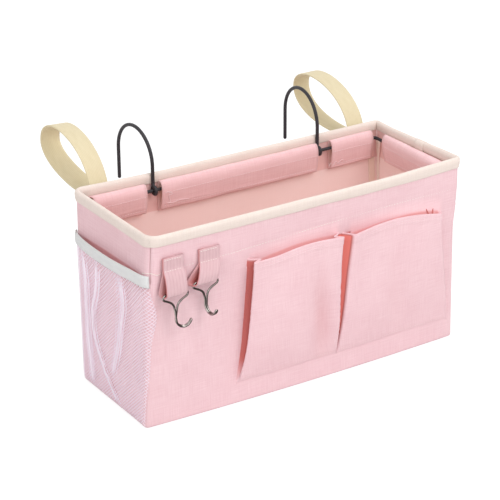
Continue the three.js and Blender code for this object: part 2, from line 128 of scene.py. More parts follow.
class Finish:
    def __init__(self, holder):
        holder.use_nodes = True
        self.material = holder
        self.tree = holder.node_tree
        self.shader = self.tree.nodes.get("Principled BSDF")

    def node(self, kind, settings=None, values=None, out=0):
        made = self.tree.nodes.new(kind)
        for key, value in (settings or {}).items():
            if key == "stops":
                ramp = made.color_ramp
                while len(ramp.elements) < len(value):
                    ramp.elements.new(1)
                for element, (place, colour) in zip(ramp.elements, value):
                    element.position = place
                    element.color = (*colour, 1)
            else:
                setattr(made, key, value)
        for key, value in (values or {}).items():
            self.feed(made.inputs[key], value)
        return Tone(self, made.outputs[out])

    def feed(self, socket, value):
        if isinstance(value, Tone):
            self.tree.links.new(value.socket, socket)
        elif socket.type == "RGBA" and len(value) == 3:
            socket.default_value = (*value, 1)
        else:
            socket.default_value = value

    def set(self, **values):
        for name, value in values.items():
            self.feed(self.shader.inputs[name.replace("_", " ")], value)
        return self

    # place on the cloth in millimetres: across, along
    def cloth(self, across=1.0, along=1.0):
        place = self.node("ShaderNodeAttribute", {"attribute_name": "cloth"}, out="Vector")
        if (across, along) == (1.0, 1.0):
            return place
        stretch = (across, along, 1.0)
        return self.node("ShaderNodeVectorMath", {"operation": "MULTIPLY"}, {0: place, 1: stretch})

    # the same as values, and the painted shading: red shade up to 1, painted glow beyond 1 and below 0
    def clothParts(self):
        across = self.node("ShaderNodeSeparateXYZ", {}, {0: self.cloth()}, "X")
        return across, across.other("Y"), across.other("Z")

    def noise(self, place, scale=1.0, detail=2.0):
        values = {"Vector": place, "Scale": scale, "Detail": detail}
        return self.node("ShaderNodeTexNoise", {"noise_dimensions": "3D"}, values, "Fac")

    def clamp(self, value):
        return self.node("ShaderNodeClamp", {}, {"Value": value})

    def mix(self, share, first, second, blend="MIX"):
        settings = {"data_type": "RGBA", "blend_type": blend}
        return self.node("ShaderNodeMix", settings, {"Factor": share, 6: first, 7: second}, 2)

    def bump(self, height, depth, strength):
        values = {"Height": height, "Distance": depth * mm, "Strength": strength}
        return self.node("ShaderNodeBump", {}, values)


black = (0, 0, 0)
# What all woven cloths share; noise scales are per millimetre
weaveForm = {
    "over": 0.5, "threads": 0.3, "middle": 0.45,
    "slubLong": 0.045, "slubFine": 1.35, "cloudScale": 0.03, "threadHeight": 0.6,
    # where the painted glow is stronger than redFrom, the painted red shade comes in too
    "redFrom": 0.22, "redGain": 5.0,  # cloth that glows stronger than this is also redder
    "bump": 0.7, "sheenSpread": 0.5, "specular": 0.15,
}


# Woven cloth: threads over and under, with thicker threads here and there in both directions
def wovenFinish(name, look):
    form = weaveForm
    finish = Finish(bpy.data.materials.new(name))
    across, along, fold = finish.clothParts()
    turn = math.pi / look["thread"]
    warp = (across * turn).sin()
    weft = (along * turn).sin()
    weave = warp * weft * form["over"] + warp.size() * form["threads"] + weft.size() * form["threads"]
    slubAcross = finish.noise(finish.cloth(form["slubLong"], form["slubFine"]))
    slubAlong = finish.noise(finish.cloth(form["slubFine"], form["slubLong"]))
    cloudy = finish.noise(finish.cloth(form["cloudScale"], form["cloudScale"]), detail=3.0)
    slubs = slubAcross * 0.5 + slubAlong * 0.5
    shade = slubs * look["slub"] + cloudy * look["cloud"] + weave * look["weave"]
    middle = (look["slub"] + look["cloud"]) / 2 + look["weave"] * form["middle"]
    colour = finish.mix(finish.clamp(shade - middle + 0.5), look["dark"], look["light"])
    # deep folds get a painted red shade; beyond 1 and below 0 a painted glow stands in for light that comes
    # into the cloth
    glowing = (fold + form["redFrom"]) * -form["redGain"]
    colour = finish.mix(fold.math("MAXIMUM", fold, glowing), colour, look.get("deep", look["dark"]))
    light = finish.mix(fold - 1, look.get("paintedLight", black), look.get("paintedGlow", black))
    light = finish.mix(fold * -1, light, look.get("glow", black))
    finish.set(
        Base_Color=colour,
        Roughness=look["roughness"],
        Sheen_Weight=look["sheen"],
        Sheen_Roughness=form["sheenSpread"],
        Specular_IOR_Level=form["specular"],
        Emission_Color=light,
        Emission_Strength=1.0,
        Normal=finish.bump(weave * form["threadHeight"] + slubs, look["relief"], form["bump"]),
    )
    return finish.material


# What all webbings, elastics and threads share
ribForm = {
    "crossShade": 0.15, "wornShade": 0.6, "wornScale": (0.25, 0.08), "crossHeight": 0.3,
    "roughness": 0.8, "sheen": 0.15, "sheenSpread": 0.5, "bump": 0.8, "specular": 0.2,
}


# Webbing: ribs along its length, fine cross threads; the cloth's third value gives painted red shade, and the
# emission colour is a painted glow
def ribbedFinish(name, look):
    form = ribForm
    finish = Finish(bpy.data.materials.new(name))
    across, along, fold = finish.clothParts()
    rib = (across * (math.pi / look["rib"])).sin().size()
    cross = (along * (math.pi / look["thread"])).sin().size()
    worn = finish.noise(finish.cloth(*form["wornScale"]), detail=3.0)
    shade = rib * look["ribShade"] + cross * form["crossShade"] + worn * form["wornShade"]
    share = finish.clamp(shade - look["ribShade"] * 0.6 + 0.1)
    colour = finish.mix(share, look["dark"], look["light"])
    height = rib * look["ribHeight"] + cross * form["crossHeight"]
    finish.set(
        Base_Color=finish.mix(fold, colour, look.get("deep", look["dark"])),
        Roughness=form["roughness"],
        Sheen_Weight=form["sheen"],
        Sheen_Roughness=form["sheenSpread"],
        Specular_IOR_Level=form["specular"],
        Emission_Color=look.get("paintedGlow", black),
        Emission_Strength=1.0,
        Normal=finish.bump(height, look["relief"], form["bump"]),
    )
    return finish.material


# facing: the direction from which the painted reflection bands are lit
metalForm = {"fine": 900.0, "broad": 60.0, "bump": 0.3, "facing": (-0.65, -0.2, 0.6)}


# Metal: uneven, and where asked with painted reflection bands as of a bright room round it, set by the way
# each face turns
def metalFinish(name, look):
    finish = Finish(bpy.data.materials.new(name))
    place = finish.node("ShaderNodeTexCoord", {}, {}, "Object")
    fine = finish.noise(place, metalForm["fine"], 3.0)
    broad = finish.noise(place, metalForm["broad"], 2.0)
    share = fine * 0.4 + broad * 0.6
    colour = finish.mix(share, look["dark"], look["light"])
    if "sheen" in look:
        normal = finish.node("ShaderNodeNewGeometry", {}, {}, "Normal")
        up = finish.node("ShaderNodeSeparateXYZ", {}, {0: normal}, "Z")
        toX, toY, toZ = metalForm["facing"]
        lit = up * toZ + up.other("X") * toX + up.other("Y") * toY
        shine = lit * 0.5 + 0.5 + share * 0.1
        paintedReflection = finish.node("ShaderNodeValToRGB", {"stops": look["sheen"]}, {0: shine}, "Color")
        colour = finish.mix(1.0, colour, paintedReflection, "MULTIPLY")
    finish.set(
        Base_Color=colour,
        Roughness=look["roughness"] + (share - 0.5) * look["uneven"],
        Metallic=look["metallic"],
        Specular_IOR_Level=look["gloss"],
        Normal=finish.bump(fine, look["relief"], metalForm["bump"]),
    )
    return finish.material


# the deep colour is painted red shade for folds and hollows; the two emission colours are painted glow
canvasLook = {
    "thread": 0.62, "slub": 1.4, "cloud": 0.4, "weave": 0.4, "relief": 0.2, "roughness": 0.92, "sheen": 0.12,
    "dark": (0.775, 0.48, 0.52), "light": (0.95, 0.705, 0.735), "deep": (0.58, 0.16, 0.145),
    "paintedGlow": (0.75, 0.20, 0.16), "glow": (0.75, 0.42, 0.42),
}
canvasPink = wovenFinish("canvasPink", canvasLook)
# the sleeves get an even, faint painted glow
sleevePink = wovenFinish("sleevePink", {**canvasLook, "paintedLight": (0.03, 0.018, 0.0)})
# the lining's deep colour is painted red shade, and its emission an even painted glow
liningPink = wovenFinish("liningPink", {
    "thread": 0.45, "slub": 0.5, "cloud": 0.4, "weave": 0.15, "relief": 0.06, "roughness": 0.8, "sheen": 0.05,
    "dark": (0.91, 0.66, 0.61), "light": (0.98, 0.79, 0.745), "deep": (0.74, 0.30, 0.27),
    "paintedLight": (0.036, 0.028, 0.032),
})
# the tapes' deep tan is painted shade, and their emission an even painted glow
tapeLook = {
    "thread": 0.55, "slub": 1.0, "cloud": 0.3, "weave": 0.5, "relief": 0.22, "roughness": 0.92, "sheen": 0.15,
    "dark": (0.71, 0.60, 0.535), "light": (0.905, 0.80, 0.75), "deep": (0.66, 0.44, 0.32),
    "paintedLight": (0.04, 0.034, 0.026),
}
creamTape = wovenFinish("creamTape", tapeLook)
# the seam tapes in the corners get a stronger painted glow
seamTape = wovenFinish("seamTape", {**tapeLook, "paintedLight": (0.12, 0.075, 0.06)})
boardGrey = wovenFinish("boardGrey", {
    "thread": 0.9, "slub": 0.6, "cloud": 0.6, "weave": 0.0, "relief": 0.05, "roughness": 0.85, "sheen": 0.0,
    "dark": (0.40, 0.37, 0.33), "light": (0.52, 0.49, 0.45),
})
# the straps' emission is a faint painted glow
creamWebbing = ribbedFinish("creamWebbing", {
    "rib": 1.6, "thread": 0.55, "ribShade": 0.3, "ribHeight": 0.6, "relief": 0.12,
    "dark": (0.60, 0.515, 0.33), "light": (0.75, 0.67, 0.49), "paintedGlow": (0.045, 0.03, 0.004),
})
# the tabs' deep colour is painted dark red shade
lilacWebbing = ribbedFinish("lilacWebbing", {
    "rib": 3.4, "thread": 0.6, "ribShade": 0.35, "ribHeight": 1.0, "relief": 0.2,
    "dark": (0.63, 0.385, 0.415), "light": (0.76, 0.53, 0.55), "deep": (0.55, 0.13, 0.12),
})
greyElastic = ribbedFinish("greyElastic", {
    "rib": 1.1, "thread": 0.7, "ribShade": 0.35, "ribHeight": 0.8, "relief": 0.15,
    "dark": (0.66, 0.66, 0.66), "light": (0.84, 0.84, 0.83),
})
# the net's emission is a painted glow that brightens it
netWhite = ribbedFinish("netWhite", {
    "rib": 0.4, "thread": 0.5, "ribShade": 0.2, "ribHeight": 0.4, "relief": 0.03,
    "dark": (0.88, 0.80, 0.88), "light": (0.98, 0.93, 0.98), "paintedGlow": (0.14, 0.10, 0.125),
})
threadLook = {"rib": 0.3, "thread": 0.4, "ribShade": 0.3, "ribHeight": 0.5, "relief": 0.05}
pinkThread = ribbedFinish("pinkThread", {
    **threadLook, "dark": (0.85, 0.62, 0.64), "light": (0.95, 0.78, 0.79),
})
creamThread = ribbedFinish("creamThread", {
    **threadLook, "dark": (0.90, 0.80, 0.74), "light": (0.98, 0.92, 0.87),
})
wireBlack = metalFinish("wireBlack", {
    "dark": (0.022, 0.020, 0.024), "light": (0.045, 0.040, 0.046),
    "roughness": 0.5, "uneven": 0.2, "metallic": 0.0, "relief": 0.02, "gloss": 0.28,
})
nickel = metalFinish("nickel", {
    "dark": (0.62, 0.59, 0.57), "light": (0.95, 0.92, 0.89),
    "roughness": 0.2, "uneven": 0.15, "metallic": 1.0, "relief": 0.01, "gloss": 0.5,
    # painted reflection bands, from faces turned away from the light to faces turned towards it
    "sheen": (
        (0.0, (0.17, 0.12, 0.11)), (0.4, (0.032, 0.027, 0.026)), (0.77, (0.075, 0.062, 0.058)),
        (0.87, (0.68, 0.65, 0.63)), (1.0, (0.3, 0.28, 0.27)),
    ),
})
print("finishes made")


# Meshes from grids of points
def makePiece(name, points, faces, finish, cloth=None, inside=None, insideFaces=()):
    mesh = bpy.data.meshes.new(name)
    mesh.from_pydata((np.asarray(points, float).reshape(-1, 3) * mm).tolist(), [], faces)
    if cloth is not None:
        place = mesh.attributes.new("cloth", "FLOAT_VECTOR", "POINT")
        flat = np.asarray(cloth, float)
        flat = flat.reshape(-1, flat.shape[-1])
        if flat.shape[1] == 2:
            flat = np.column_stack([flat, np.zeros(len(flat))])
        place.data.foreach_set("vector", flat.ravel())
    mesh.materials.append(finish)
    if inside is not None:
        mesh.materials.append(inside)
        for index in insideFaces:
            mesh.polygons[index].material_index = 1
    shape = bmesh.new()
    shape.from_mesh(mesh)
    bmesh.ops.recalc_face_normals(shape, faces=shape.faces)
    shape.to_mesh(mesh)
    shape.free()
    mesh.polygons.foreach_set("use_smooth", [True] * len(mesh.polygons))
    mesh.update()
    piece = bpy.data.objects.new(name, mesh)
    bpy.context.collection.objects.link(piece)
    return piece


def gridFaces(rows, columns, start=0, ring=False):
    faces = []
    for row in range(rows - 1):
        for column in range(columns if ring else columns - 1):
            after = (column + 1) % columns
            here = start + row * columns
            above = here + columns
            faces.append((here + column, here + after, above + after, above + column))
    return faces


# A sheet with two faces, closed round its edges; a ring sheet has no ends across
def thickSheet(name, outer, inner, cloth, finish, inside=None, ring=False, innerCloth=None):
    rows, columns = outer.shape[:2]
    count = rows * columns
    faces = gridFaces(rows, columns, 0, ring)
    innerFaces = [face[::-1] for face in gridFaces(rows, columns, count, ring)]
    edge = [(0, c) for c in range(columns)]
    loops = []
    if ring:
        loops.append(edge)
        loops.append([(rows - 1, c) for c in range(columns)])
    else:
        edge += [(r, columns - 1) for r in range(1, rows)]
        edge += [(rows - 1, c) for c in range(columns - 2, -1, -1)]
        edge += [(r, 0) for r in range(rows - 2, 0, -1)]
        loops.append(edge)
    sides = []
    for loop in loops:
        for k, (r, c) in enumerate(loop):
            nextR, nextC = loop[(k + 1) % len(loop)]
            a, b = r * columns + c, nextR * columns + nextC
            sides.append((a, b, b + count, a + count))
    points = np.concatenate([outer.reshape(-1, 3), inner.reshape(-1, 3)])
    cloth = np.asarray(cloth)
    innerCloth = cloth if innerCloth is None else np.asarray(innerCloth)
    flat = np.concatenate([cloth.reshape(-1, cloth.shape[-1]), innerCloth.reshape(-1, cloth.shape[-1])])
    insideFaces = range(len(faces), len(faces) + len(innerFaces)) if inside else ()
    return makePiece(name, points, faces + innerFaces + sides, finish, flat, inside, insideFaces)


# A tube through rings of points, with flat ends unless it closes on itself
def tubeMesh(rings, closed=False):
    rings = np.asarray(rings, float)
    count, sides = rings.shape[:2]
    spans = count if closed else count - 1
    faces = []
    for k in range(spans):
        here, after = k * sides, ((k + 1) % count) * sides
        for s in range(sides):
            t = (s + 1) % sides
            faces.append((here + s, here + t, after + t, after + s))
    if not closed:
        faces.append(tuple(range(sides))[::-1])
        faces.append(tuple((count - 1) * sides + s for s in range(sides)))
    return rings.reshape(-1, 3), faces


def lengths(path):
    steps = np.linalg.norm(np.diff(path, axis=0), axis=1)
    return np.concatenate([[0], np.cumsum(steps)])


def unit(vectors):
    return vectors / np.maximum(np.linalg.norm(vectors, axis=-1, keepdims=True), 1e-9)


# Round or flat wire along a path; side is a direction across it that stays put
def wireRings(path, side, wide, thick, sides=16, closed=False):
    path = np.asarray(path, float)
    if closed:
        tangent = unit(np.roll(path, -1, 0) - np.roll(path, 1, 0))
    else:
        tangent = unit(np.gradient(path, axis=0))
    across = np.broadcast_to(np.asarray(side, float), path.shape)
    across = unit(across - tangent * (across * tangent).sum(1, keepdims=True))
    normal = np.cross(tangent, across)
    wide = np.broadcast_to(wide, len(path))[:, None, None] / 2
    thick = np.broadcast_to(thick, len(path))[:, None, None] / 2
    angle = np.linspace(0, 2 * math.pi, sides, endpoint=False)[None, :, None]
    ring = across[:, None] * np.cos(angle) * wide + normal[:, None] * np.sin(angle) * thick
    return path[:, None] + ring


def smoothPath(points, step):
    points = np.asarray(points, float)
    before = np.vstack([2 * points[0] - points[1], points, 2 * points[-1] - points[-2]])
    dense = []
    for k in range(1, len(before) - 2):
        a, b, c, d = before[k - 1:k + 3]
        for t in np.linspace(0, 1, 12, endpoint=False):
            dense.append(0.5 * (2 * b + (c - a) * t + (2 * a - 5 * b + 4 * c - d) * t * t
                                + (3 * b - a - 3 * c + d) * t ** 3))
    dense.append(points[-1])
    dense = np.array(dense)
    along = lengths(dense)
    places = np.linspace(0, along[-1], max(2, round(along[-1] / step) + 1))
    return np.column_stack([np.interp(places, along, dense[:, k]) for k in range(dense.shape[1])])


def bezier(a, b, c, d, count):
    t = np.linspace(0, 1, count)[:, None]
    a, b, c, d = (np.asarray(p, float) for p in (a, b, c, d))
    return (1 - t) ** 3 * a + 3 * t * (1 - t) ** 2 * b + 3 * t * t * (1 - t) * c + t ** 3 * d


# A flat woven strip along a path of (y, z), its width along X from one middle or many, with round edges
def stripPiece(name, path, x, wide, thick, finish, paintedShading=None, twist=0.0):
    path = np.asarray(path, float)
    tangent = unit(np.gradient(path, axis=0))
    normal = np.column_stack([-tangent[:, 1], tangent[:, 0]])
    flat, half = wide / 2 - thick / 2, thick / 2
    face = [(s, half) for s in np.linspace(-flat, flat, 9)]
    edge = [(flat + half * math.sin(a), half * math.cos(a)) for a in np.radians((45, 90, 135))]
    section = np.array(face + edge)
    section = np.concatenate([section, -section])
    along = lengths(path)
    turn = np.broadcast_to(np.radians(twist), len(path))[:, None]
    beside = section[None, :, 0] * np.cos(turn) - section[None, :, 1] * np.sin(turn)
    out = section[None, :, 0] * np.sin(turn) + section[None, :, 1] * np.cos(turn)
    rings = np.empty((len(path), len(section), 3))
    rings[..., 0] = np.broadcast_to(x, len(path))[:, None] + beside
    rings[..., 1:] = path[:, None] + normal[:, None] * out[..., None]
    cloth = np.zeros((len(path), len(section), 3))
    cloth[..., 0] = section[None, :, 0]
    cloth[..., 1] = along[:, None]
    # the third value carries painted shading, where given
    if paintedShading is not None:
        cloth[..., 2] = paintedShading(path, section)
    points, faces = tubeMesh(rings)
    return makePiece(name, points, faces, finish, cloth)


# Joins closed pieces into one body
def fuse(first, others):
    for other in others:
        cut = first.modifiers.new("join", "BOOLEAN")
        cut.operation = "UNION"
        cut.solver = "EXACT"
        cut.object = other
        bpy.context.view_layer.objects.active = first
        bpy.ops.object.modifier_apply(modifier=cut.name)
        bpy.data.objects.remove(other, do_unlink=True)
    first.data.polygons.foreach_set("use_smooth", [True] * len(first.data.polygons))
    return first


# Gives a piece its body, and hides the solids' nodes that it shows
def place(piece, body, slot, *nodes):
    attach(piece, body)
    if nodes:
        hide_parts(*nodes)


# Slow waves that make cloth uneven: a few sines with fixed directions
def waves(seed, count, shortest, longest):
    draw = random.Random(seed)
    parts = []
    for _ in range(count):
        span = draw.uniform(shortest, longest)
        lean = draw.uniform(0, math.pi)
        parts.append((math.cos(lean) * 2 * math.pi / span, math.sin(lean) * 2 * math.pi / span,
                      draw.uniform(0, 2 * math.pi)))
    return lambda u, v: sum(np.sin(fu * u + fv * v + start) for fu, fv, start in parts) / count


def hill(distance, width):
    return np.exp(-(np.asarray(distance) / width) ** 2)


# Nothing up to a start, then rising to 1 over a span; with a negative span it rises downwards
def ramp(value, start, span, most=1):
    return np.clip((value - start) / span, 0, most)


def between(value, low, high, soft):
    return ramp(value, low, soft) * ramp(value, high, -soft)


# A smooth line through evenly spaced values, or through given places
def curve(values, places=None):
    places = np.linspace(0, 1, len(values)) if places is None else np.asarray(places, float)
    line = smoothPath(np.column_stack([places, values]), (places[-1] - places[0]) / 60)
    return lambda place: np.interp(place, line[:, 0], line[:, 1])


# The bag's form: straight at the rim, and longer and narrower at the foot
_, bagHigh = nodeBox("bottom_panel")
_, bindingHigh = nodeBox("rim_binding")
bag = {
    "halfLength": bagHigh[0], "halfDepth": bagHigh[1], "height": bindingHigh[2], "cloth": 2.0,
    # corner radius at the foot and at the rim
    "corners": {
        "frontLeft": (4.0, 13.0), "frontRight": (4.5, 4.5), "backRight": (4.0, 4.0), "backLeft": (6.0, 9.0),
    },
    "footSpread": 5.8, "footTuck": 5.7, "footRight": 3.0,
    "footTurn": 2.5,  # the walls turn under along this radius
    "sewLine": (163.0, 163.4, 166.5, 169.0, 168.0),  # stitching through the walls that holds the sleeves
    # the front left seam strays round the corner below the net's band: how far, height and its width
    "stray": ((8.0, 118, 22), (3.5, 72, 34)),
}
# How the cloth is slack
slack = {
    "calmEdge": 25, "calmRim": 40, "calmFoot": 30,  # it lies flat this near to its edges
    "waves": 1.5, "fineWaves": 0.25, "stitchDip": 0.45, "stitchWide": 1.3,
    # dent and swelling below the left hook: depth, place along the front and its width, height and its width
    "front": ((-2.6, -150, 17, 108, 34), (1.2, -120, 26, 70, 40)),
    "footBulge": 4.2, "bulgeHeight": 110,  # the front's foot stands out in the middle
}
# The rim's back left and front right corners stand out
sway = {
    "left": 7.0, "right": 5.0, "lift": 3.5, "most": 1.2, "atFoot": 0.3,
    # where they begin and over what length they grow, along x and along y
    "backLeft": ((-40, -135), (-40, 108)), "frontRight": ((60, 115), (40, -108)), "rightUp": (120, 55),
    "wire": (-8, 5),  # what holds the wire stays with the wire
}
sides = {
    "front": ((0, -1), (1, 0), "frontLeft", "frontRight"),
    "right": ((1, 0), (0, 1), "frontRight", "backRight"),
    "back": ((0, 1), (-1, 0), "backRight", "backLeft"),
    "left": ((-1, 0), (0, -1), "backLeft", "frontLeft"),
}
longSides = ("front", "back")
sewLine = curve(bag["sewLine"], np.linspace(-175, 175, 5))
wallWaves = {side: waves(seed, 6, 90, 260) for seed, side in enumerate(sides, 11)}
fineWaves = waves(29, 7, 22, 60)


def halfSizes(z):
    toFoot = 1 - np.clip(np.asarray(z, float) / bag["height"], 0, 1)
    return bag["halfLength"] + bag["footSpread"] * toFoot, bag["halfDepth"] - bag["footTuck"] * toFoot


# Half of a side's own length, and half of the bag's size across it
def halvesOf(side, z):
    a, b = halfSizes(z)
    return (a, b) if side in longSides else (b, a)


def cornerRadius(corner, z):
    foot, rim = bag["corners"][corner]
    return foot + (rim - foot) * np.clip(np.asarray(z, float) / bag["height"], 0, 1) ** 2


def outwardOf(side):
    return np.array(sides[side][0] + (0,), float)


# How far the cloth stands in or out of the plain form
def clothRelief(side, t, z):
    half, _ = halvesOf(side, z)
    calm = ramp(np.abs(t), half, -slack["calmEdge"]) * ramp(z, bag["height"], -slack["calmRim"])
    calm = calm * ramp(z, 0, slack["calmFoot"])
    relief = (wallWaves[side](t, z) * slack["waves"] + fineWaves(t, z) * slack["fineWaves"]) * calm
    if side in longSides:
        relief = relief - slack["stitchDip"] * hill(z - sewLine(t), slack["stitchWide"])
    if side == "front":
        for depth, along, wide, height, tall in slack["front"]:
            relief = relief + depth * hill(t - along, wide) * hill(z - height, tall)
        bulge = ramp((t / half) ** 2, 1, -1) * ramp(z, slack["bulgeHeight"], -slack["bulgeHeight"]) ** 2
        relief = relief + slack["footBulge"] * bulge
    turn = ramp(z, bag["footTurn"], -bag["footTurn"])
    return relief - bag["footTurn"] * (1 - np.sqrt(1 - turn ** 2))


def swayAt(corner, x, y):
    alongX, alongY = sway[corner]
    return ramp(x, *alongX, sway["most"]) ** 2 * ramp(y, *alongY, sway["most"])


# A point of the wall: t runs along a side from its middle and on round the corners
def wallAt(side, t, z, out=0.0):
    t, z, out = np.broadcast_arrays(np.asarray(t, float), np.asarray(z, float), np.asarray(out, float))
    normal, along, before, after = sides[side]
    half, depth = halvesOf(side, z)
    radius = np.where(t < 0, cornerRadius(before, z), cornerRadius(after, z))
    straight = half - radius
    past = np.maximum(np.abs(t) - straight, 0)
    angle = np.minimum(past / radius, math.pi / 2)
    beyond = np.maximum(past - radius * math.pi / 2, 0)
    reach = radius + out + clothRelief(side, t, z)
    alongSide = np.sign(t) * (np.minimum(np.abs(t), straight) + reach * np.sin(angle))
    outward = depth - radius + reach * np.cos(angle) - beyond
    x = along[0] * alongSide + normal[0] * outward
    y = along[1] * alongSide + normal[1] * outward
    keep = ramp(out, *sway["wire"])
    rise = ramp(z, 0, bag["height"], 1.1)
    up = ramp(z, *sway["rightUp"])
    backLeft = swayAt("backLeft", x, y) * keep
    frontRight = swayAt("frontRight", x, y) * keep * up ** 2 * (3 - 2 * up)
    leaning = sway["atFoot"] + (1 - sway["atFoot"]) * rise
    x = x - sway["left"] * backLeft * leaning + sway["right"] * frontRight
    x = x + bag["footRight"] * ramp(x, 0, 180) ** 2 * ramp(rise, 1, -1)
    return np.stack([x, y, z + sway["lift"] * (backLeft + frontRight) * rise ** 4], axis=-1)


def seamStray(z):
    return sum(far * hill(z - height, wide) for far, height, wide in bag["stray"])


def panelEdges(side, z):
    half, _ = halvesOf(side, z)
    _, _, before, after = sides[side]
    low = -(half - cornerRadius(before, z) * (1 - math.pi / 4))
    high = half - cornerRadius(after, z) * (1 - math.pi / 4)
    if side == "front":
        low = low + seamStray(z)
    if side == "left":
        high = high + seamStray(z)
    return low, high


panel = {
    "step": {"front": 2.0, "right": 3.0, "back": 3.0, "left": 3.0},
    "footLevels": (0, 0.6, 1.4, 2.4),
    "levels": ((4, 90, 28), (92, 147, 28), (148.2, 161.2, 14), (164, bag["height"] - 1.4, 13)),
    "crowd": 0.35, "hair": 0.0008,  # columns crowd towards the edges, so that seams stay thin
    # seams above and below the mesh band
    "seamFrom": 152, "gap": (0.25, 0.02), "dip": (0.9, 0.0), "dipWide": 1.1,
    # the wall's inside from this height up, behind the sleeves, gets painted red shade
    "facing": 159.4, "paintedShadeBehindSleeves": 0.45,
    # cloth in the pockets' mouths: left and right end, and top edge
    "mouths": (
        (-69, 37, (147.4, 152.1, 155.2, 155.7, 153.9)),
        (46, 158, (151.2, 153.9, 155.2, 154.8, 149.4)),
    ),
    "mouthFrom": (120, 20), "mouthEnds": 5,
    # painted glow in the pockets' mouths and above them, standing in for light passing into the cloth
    "glow": (0.36, 0.22), "glowHeight": 14.0, "glowEdge": 2.5,
    # painted red shade with painted glow in the groove between the pockets
    "groove": {"left": 33, "right": 50.5, "low": 26, "top": 153.0, "red": 1.4},  # between the pockets
    # painted red shade on the left end's wall behind the mesh band
    "paintedShadeBehindBand": {"reach": 58, "low": 140, "top": 158.5, "red": 0.6},
}


# Painted shading of the walls' outside: red shade behind the left end's band, painted glow in and above the
# pockets' mouths, red shade with glow between the pockets
def wallPaintedShading(side, t, z):
    paintedShading = np.zeros(t.shape)
    if side == "left":
        p = panel["paintedShadeBehindBand"]
        return p["red"] * ramp(z, p["top"], -1) * ramp(z, p["low"], 6) * ramp(np.abs(t), p["reach"], -12)
    if side != "front":
        return paintedShading
    deep, soft = panel["glow"]
    for left, right, line in panel["mouths"]:
        edge = curve(line, np.linspace(left, right, len(line)))(t)
        glow = soft * np.clip(1 - (z - edge) / panel["glowHeight"], 0, 1)
        glow = glow + (deep - soft) * ramp(z, edge, -panel["glowEdge"])
        inside = between(t, left, right, panel["mouthEnds"]) * ramp(z, *panel["mouthFrom"])
        paintedShading = paintedShading - glow * inside
    p = panel["groove"]
    groove = p["red"] * between(t, p["left"], p["right"], 2) * ramp(z, p["top"], -1) * ramp(z, p["low"], 6)
    return np.where(groove > 0.05, groove, paintedShading)


def makeWall(side, node):
    levels = np.concatenate([panel["footLevels"]] + [np.linspace(*part) for part in panel["levels"]])
    low, high = panelEdges(side, levels)
    columns = int(round((high[0] - low[0]) / panel["step"][side]))
    crowd, hair = panel["crowd"], panel["hair"]
    crowded = (1 - np.cos(np.linspace(0, math.pi, columns))) / 2
    share = crowded * crowd + np.linspace(0, 1, columns) * (1 - crowd)
    share = np.concatenate([[0, hair], share[1:-1], [1 - hair, 1]])
    upper = levels > panel["seamFrom"]
    gap = np.where(upper, *panel["gap"])
    t = (low + gap)[:, None] + (high - low - 2 * gap)[:, None] * share[None, :]
    z = np.broadcast_to(levels[:, None], t.shape)
    toEdge = np.minimum(t - low[:, None], high[:, None] - t)
    dip = -np.where(upper, *panel["dip"])[:, None] * hill(toEdge, panel["dipWide"])
    outer = wallAt(side, t, z, dip)
    inner = wallAt(side, t, z, -bag["cloth"])
    cloth = np.stack([t, z, wallPaintedShading(side, t, z)], -1)
    # painted red shade on the wall's inside behind the sleeves
    lining = np.stack([t, z, panel["paintedShadeBehindSleeves"] * ramp(z, panel["facing"], 0.9)], -1)
    piece = thickSheet(node + "_cloth", outer, inner, cloth, canvasPink, liningPink, innerCloth=lining)
    place(piece, "bag", "canvas", node)
    wide = 2 * halvesOf(side, bag["height"])[0] * mm


for side in sides:
    makeWall(side, side + ("_panel" if side in longSides else "_end_panel"))


# Once round the bag at the rim: the side and the place along it
def rimStations(step):
    stations = []
    for side, (_, _, before, after) in sides.items():
        low, high = panelEdges(side, bag["height"])
        firstTurn = low + cornerRadius(before, bag["height"]) * math.pi / 4
        lastTurn = high - cornerRadius(after, bag["height"]) * math.pi / 4
        middle = np.linspace(firstTurn, lastTurn, int((lastTurn - firstTurn) / step))
        start, end = np.linspace(low, firstTurn, 5)[:-1], np.linspace(lastTurn, high, 5)[1:-1]
        stations += [(side, mark) for mark in np.concatenate([start, middle, end])]
    return stations


# The same shares of the sides at any height
def ringAt(z, out, step=6.0):
    ring = []
    for side, t in rimStations(step):
        here, rim = halvesOf(side, z)[0], halvesOf(side, bag["height"])[0]
        ring.append(wallAt(side, t * here / rim, z, out))
    return np.array(ring)


foot = {
    # height at which the wall is followed, distance inside it, underside and top
    "bottom": (2.5, 4.7, 0.15, 2.0), "board": (4, 3.4, 2.25, 4.9), "lining": (5.5, 3.4, 5.0, 5.8),
    # rings of these plates from the edge to the middle, and how far the edge is rounded
    "rings": (1.0, 0.985, 0.96, 0.9, 0.8, 0.65, 0.5, 0.35, 0.2, 0.08), "round": 0.35,
    "tape": 0.8, "tapeInset": 2.25, "tapeRows": (6.0, 7.4, 8.9, 10.3),
}


# A flat piece inside the foot, in rings that shrink towards the middle
def makePlate(name, part, finish):
    z, inset, low, high = foot[part]
    ring = ringAt(z, -inset)
    count, half = len(ring), len(foot["rings"])
    points, cloth = [], []
    for level, inwards in ((high, -1), (low, 1)):
        for share in foot["rings"]:
            flat = ring[:, :2] * share
            height = level + inwards * (foot["round"] if share == 1.0 else 0.0)
            points.append(np.column_stack([flat, np.full(count, height)]))
            cloth.append(flat)
    faces = gridFaces(half, count, 0, True)
    faces += gridFaces(half, count, half * count, True)
    for k in range(count):
        after = (k + 1) % count
        faces.append((k, after, half * count + after, half * count + k))
    for last in (half, 2 * half):
        faces.append(tuple(range((last - 1) * count, last * count)))
    return makePiece(name, np.concatenate(points), faces, finish, np.concatenate(cloth))


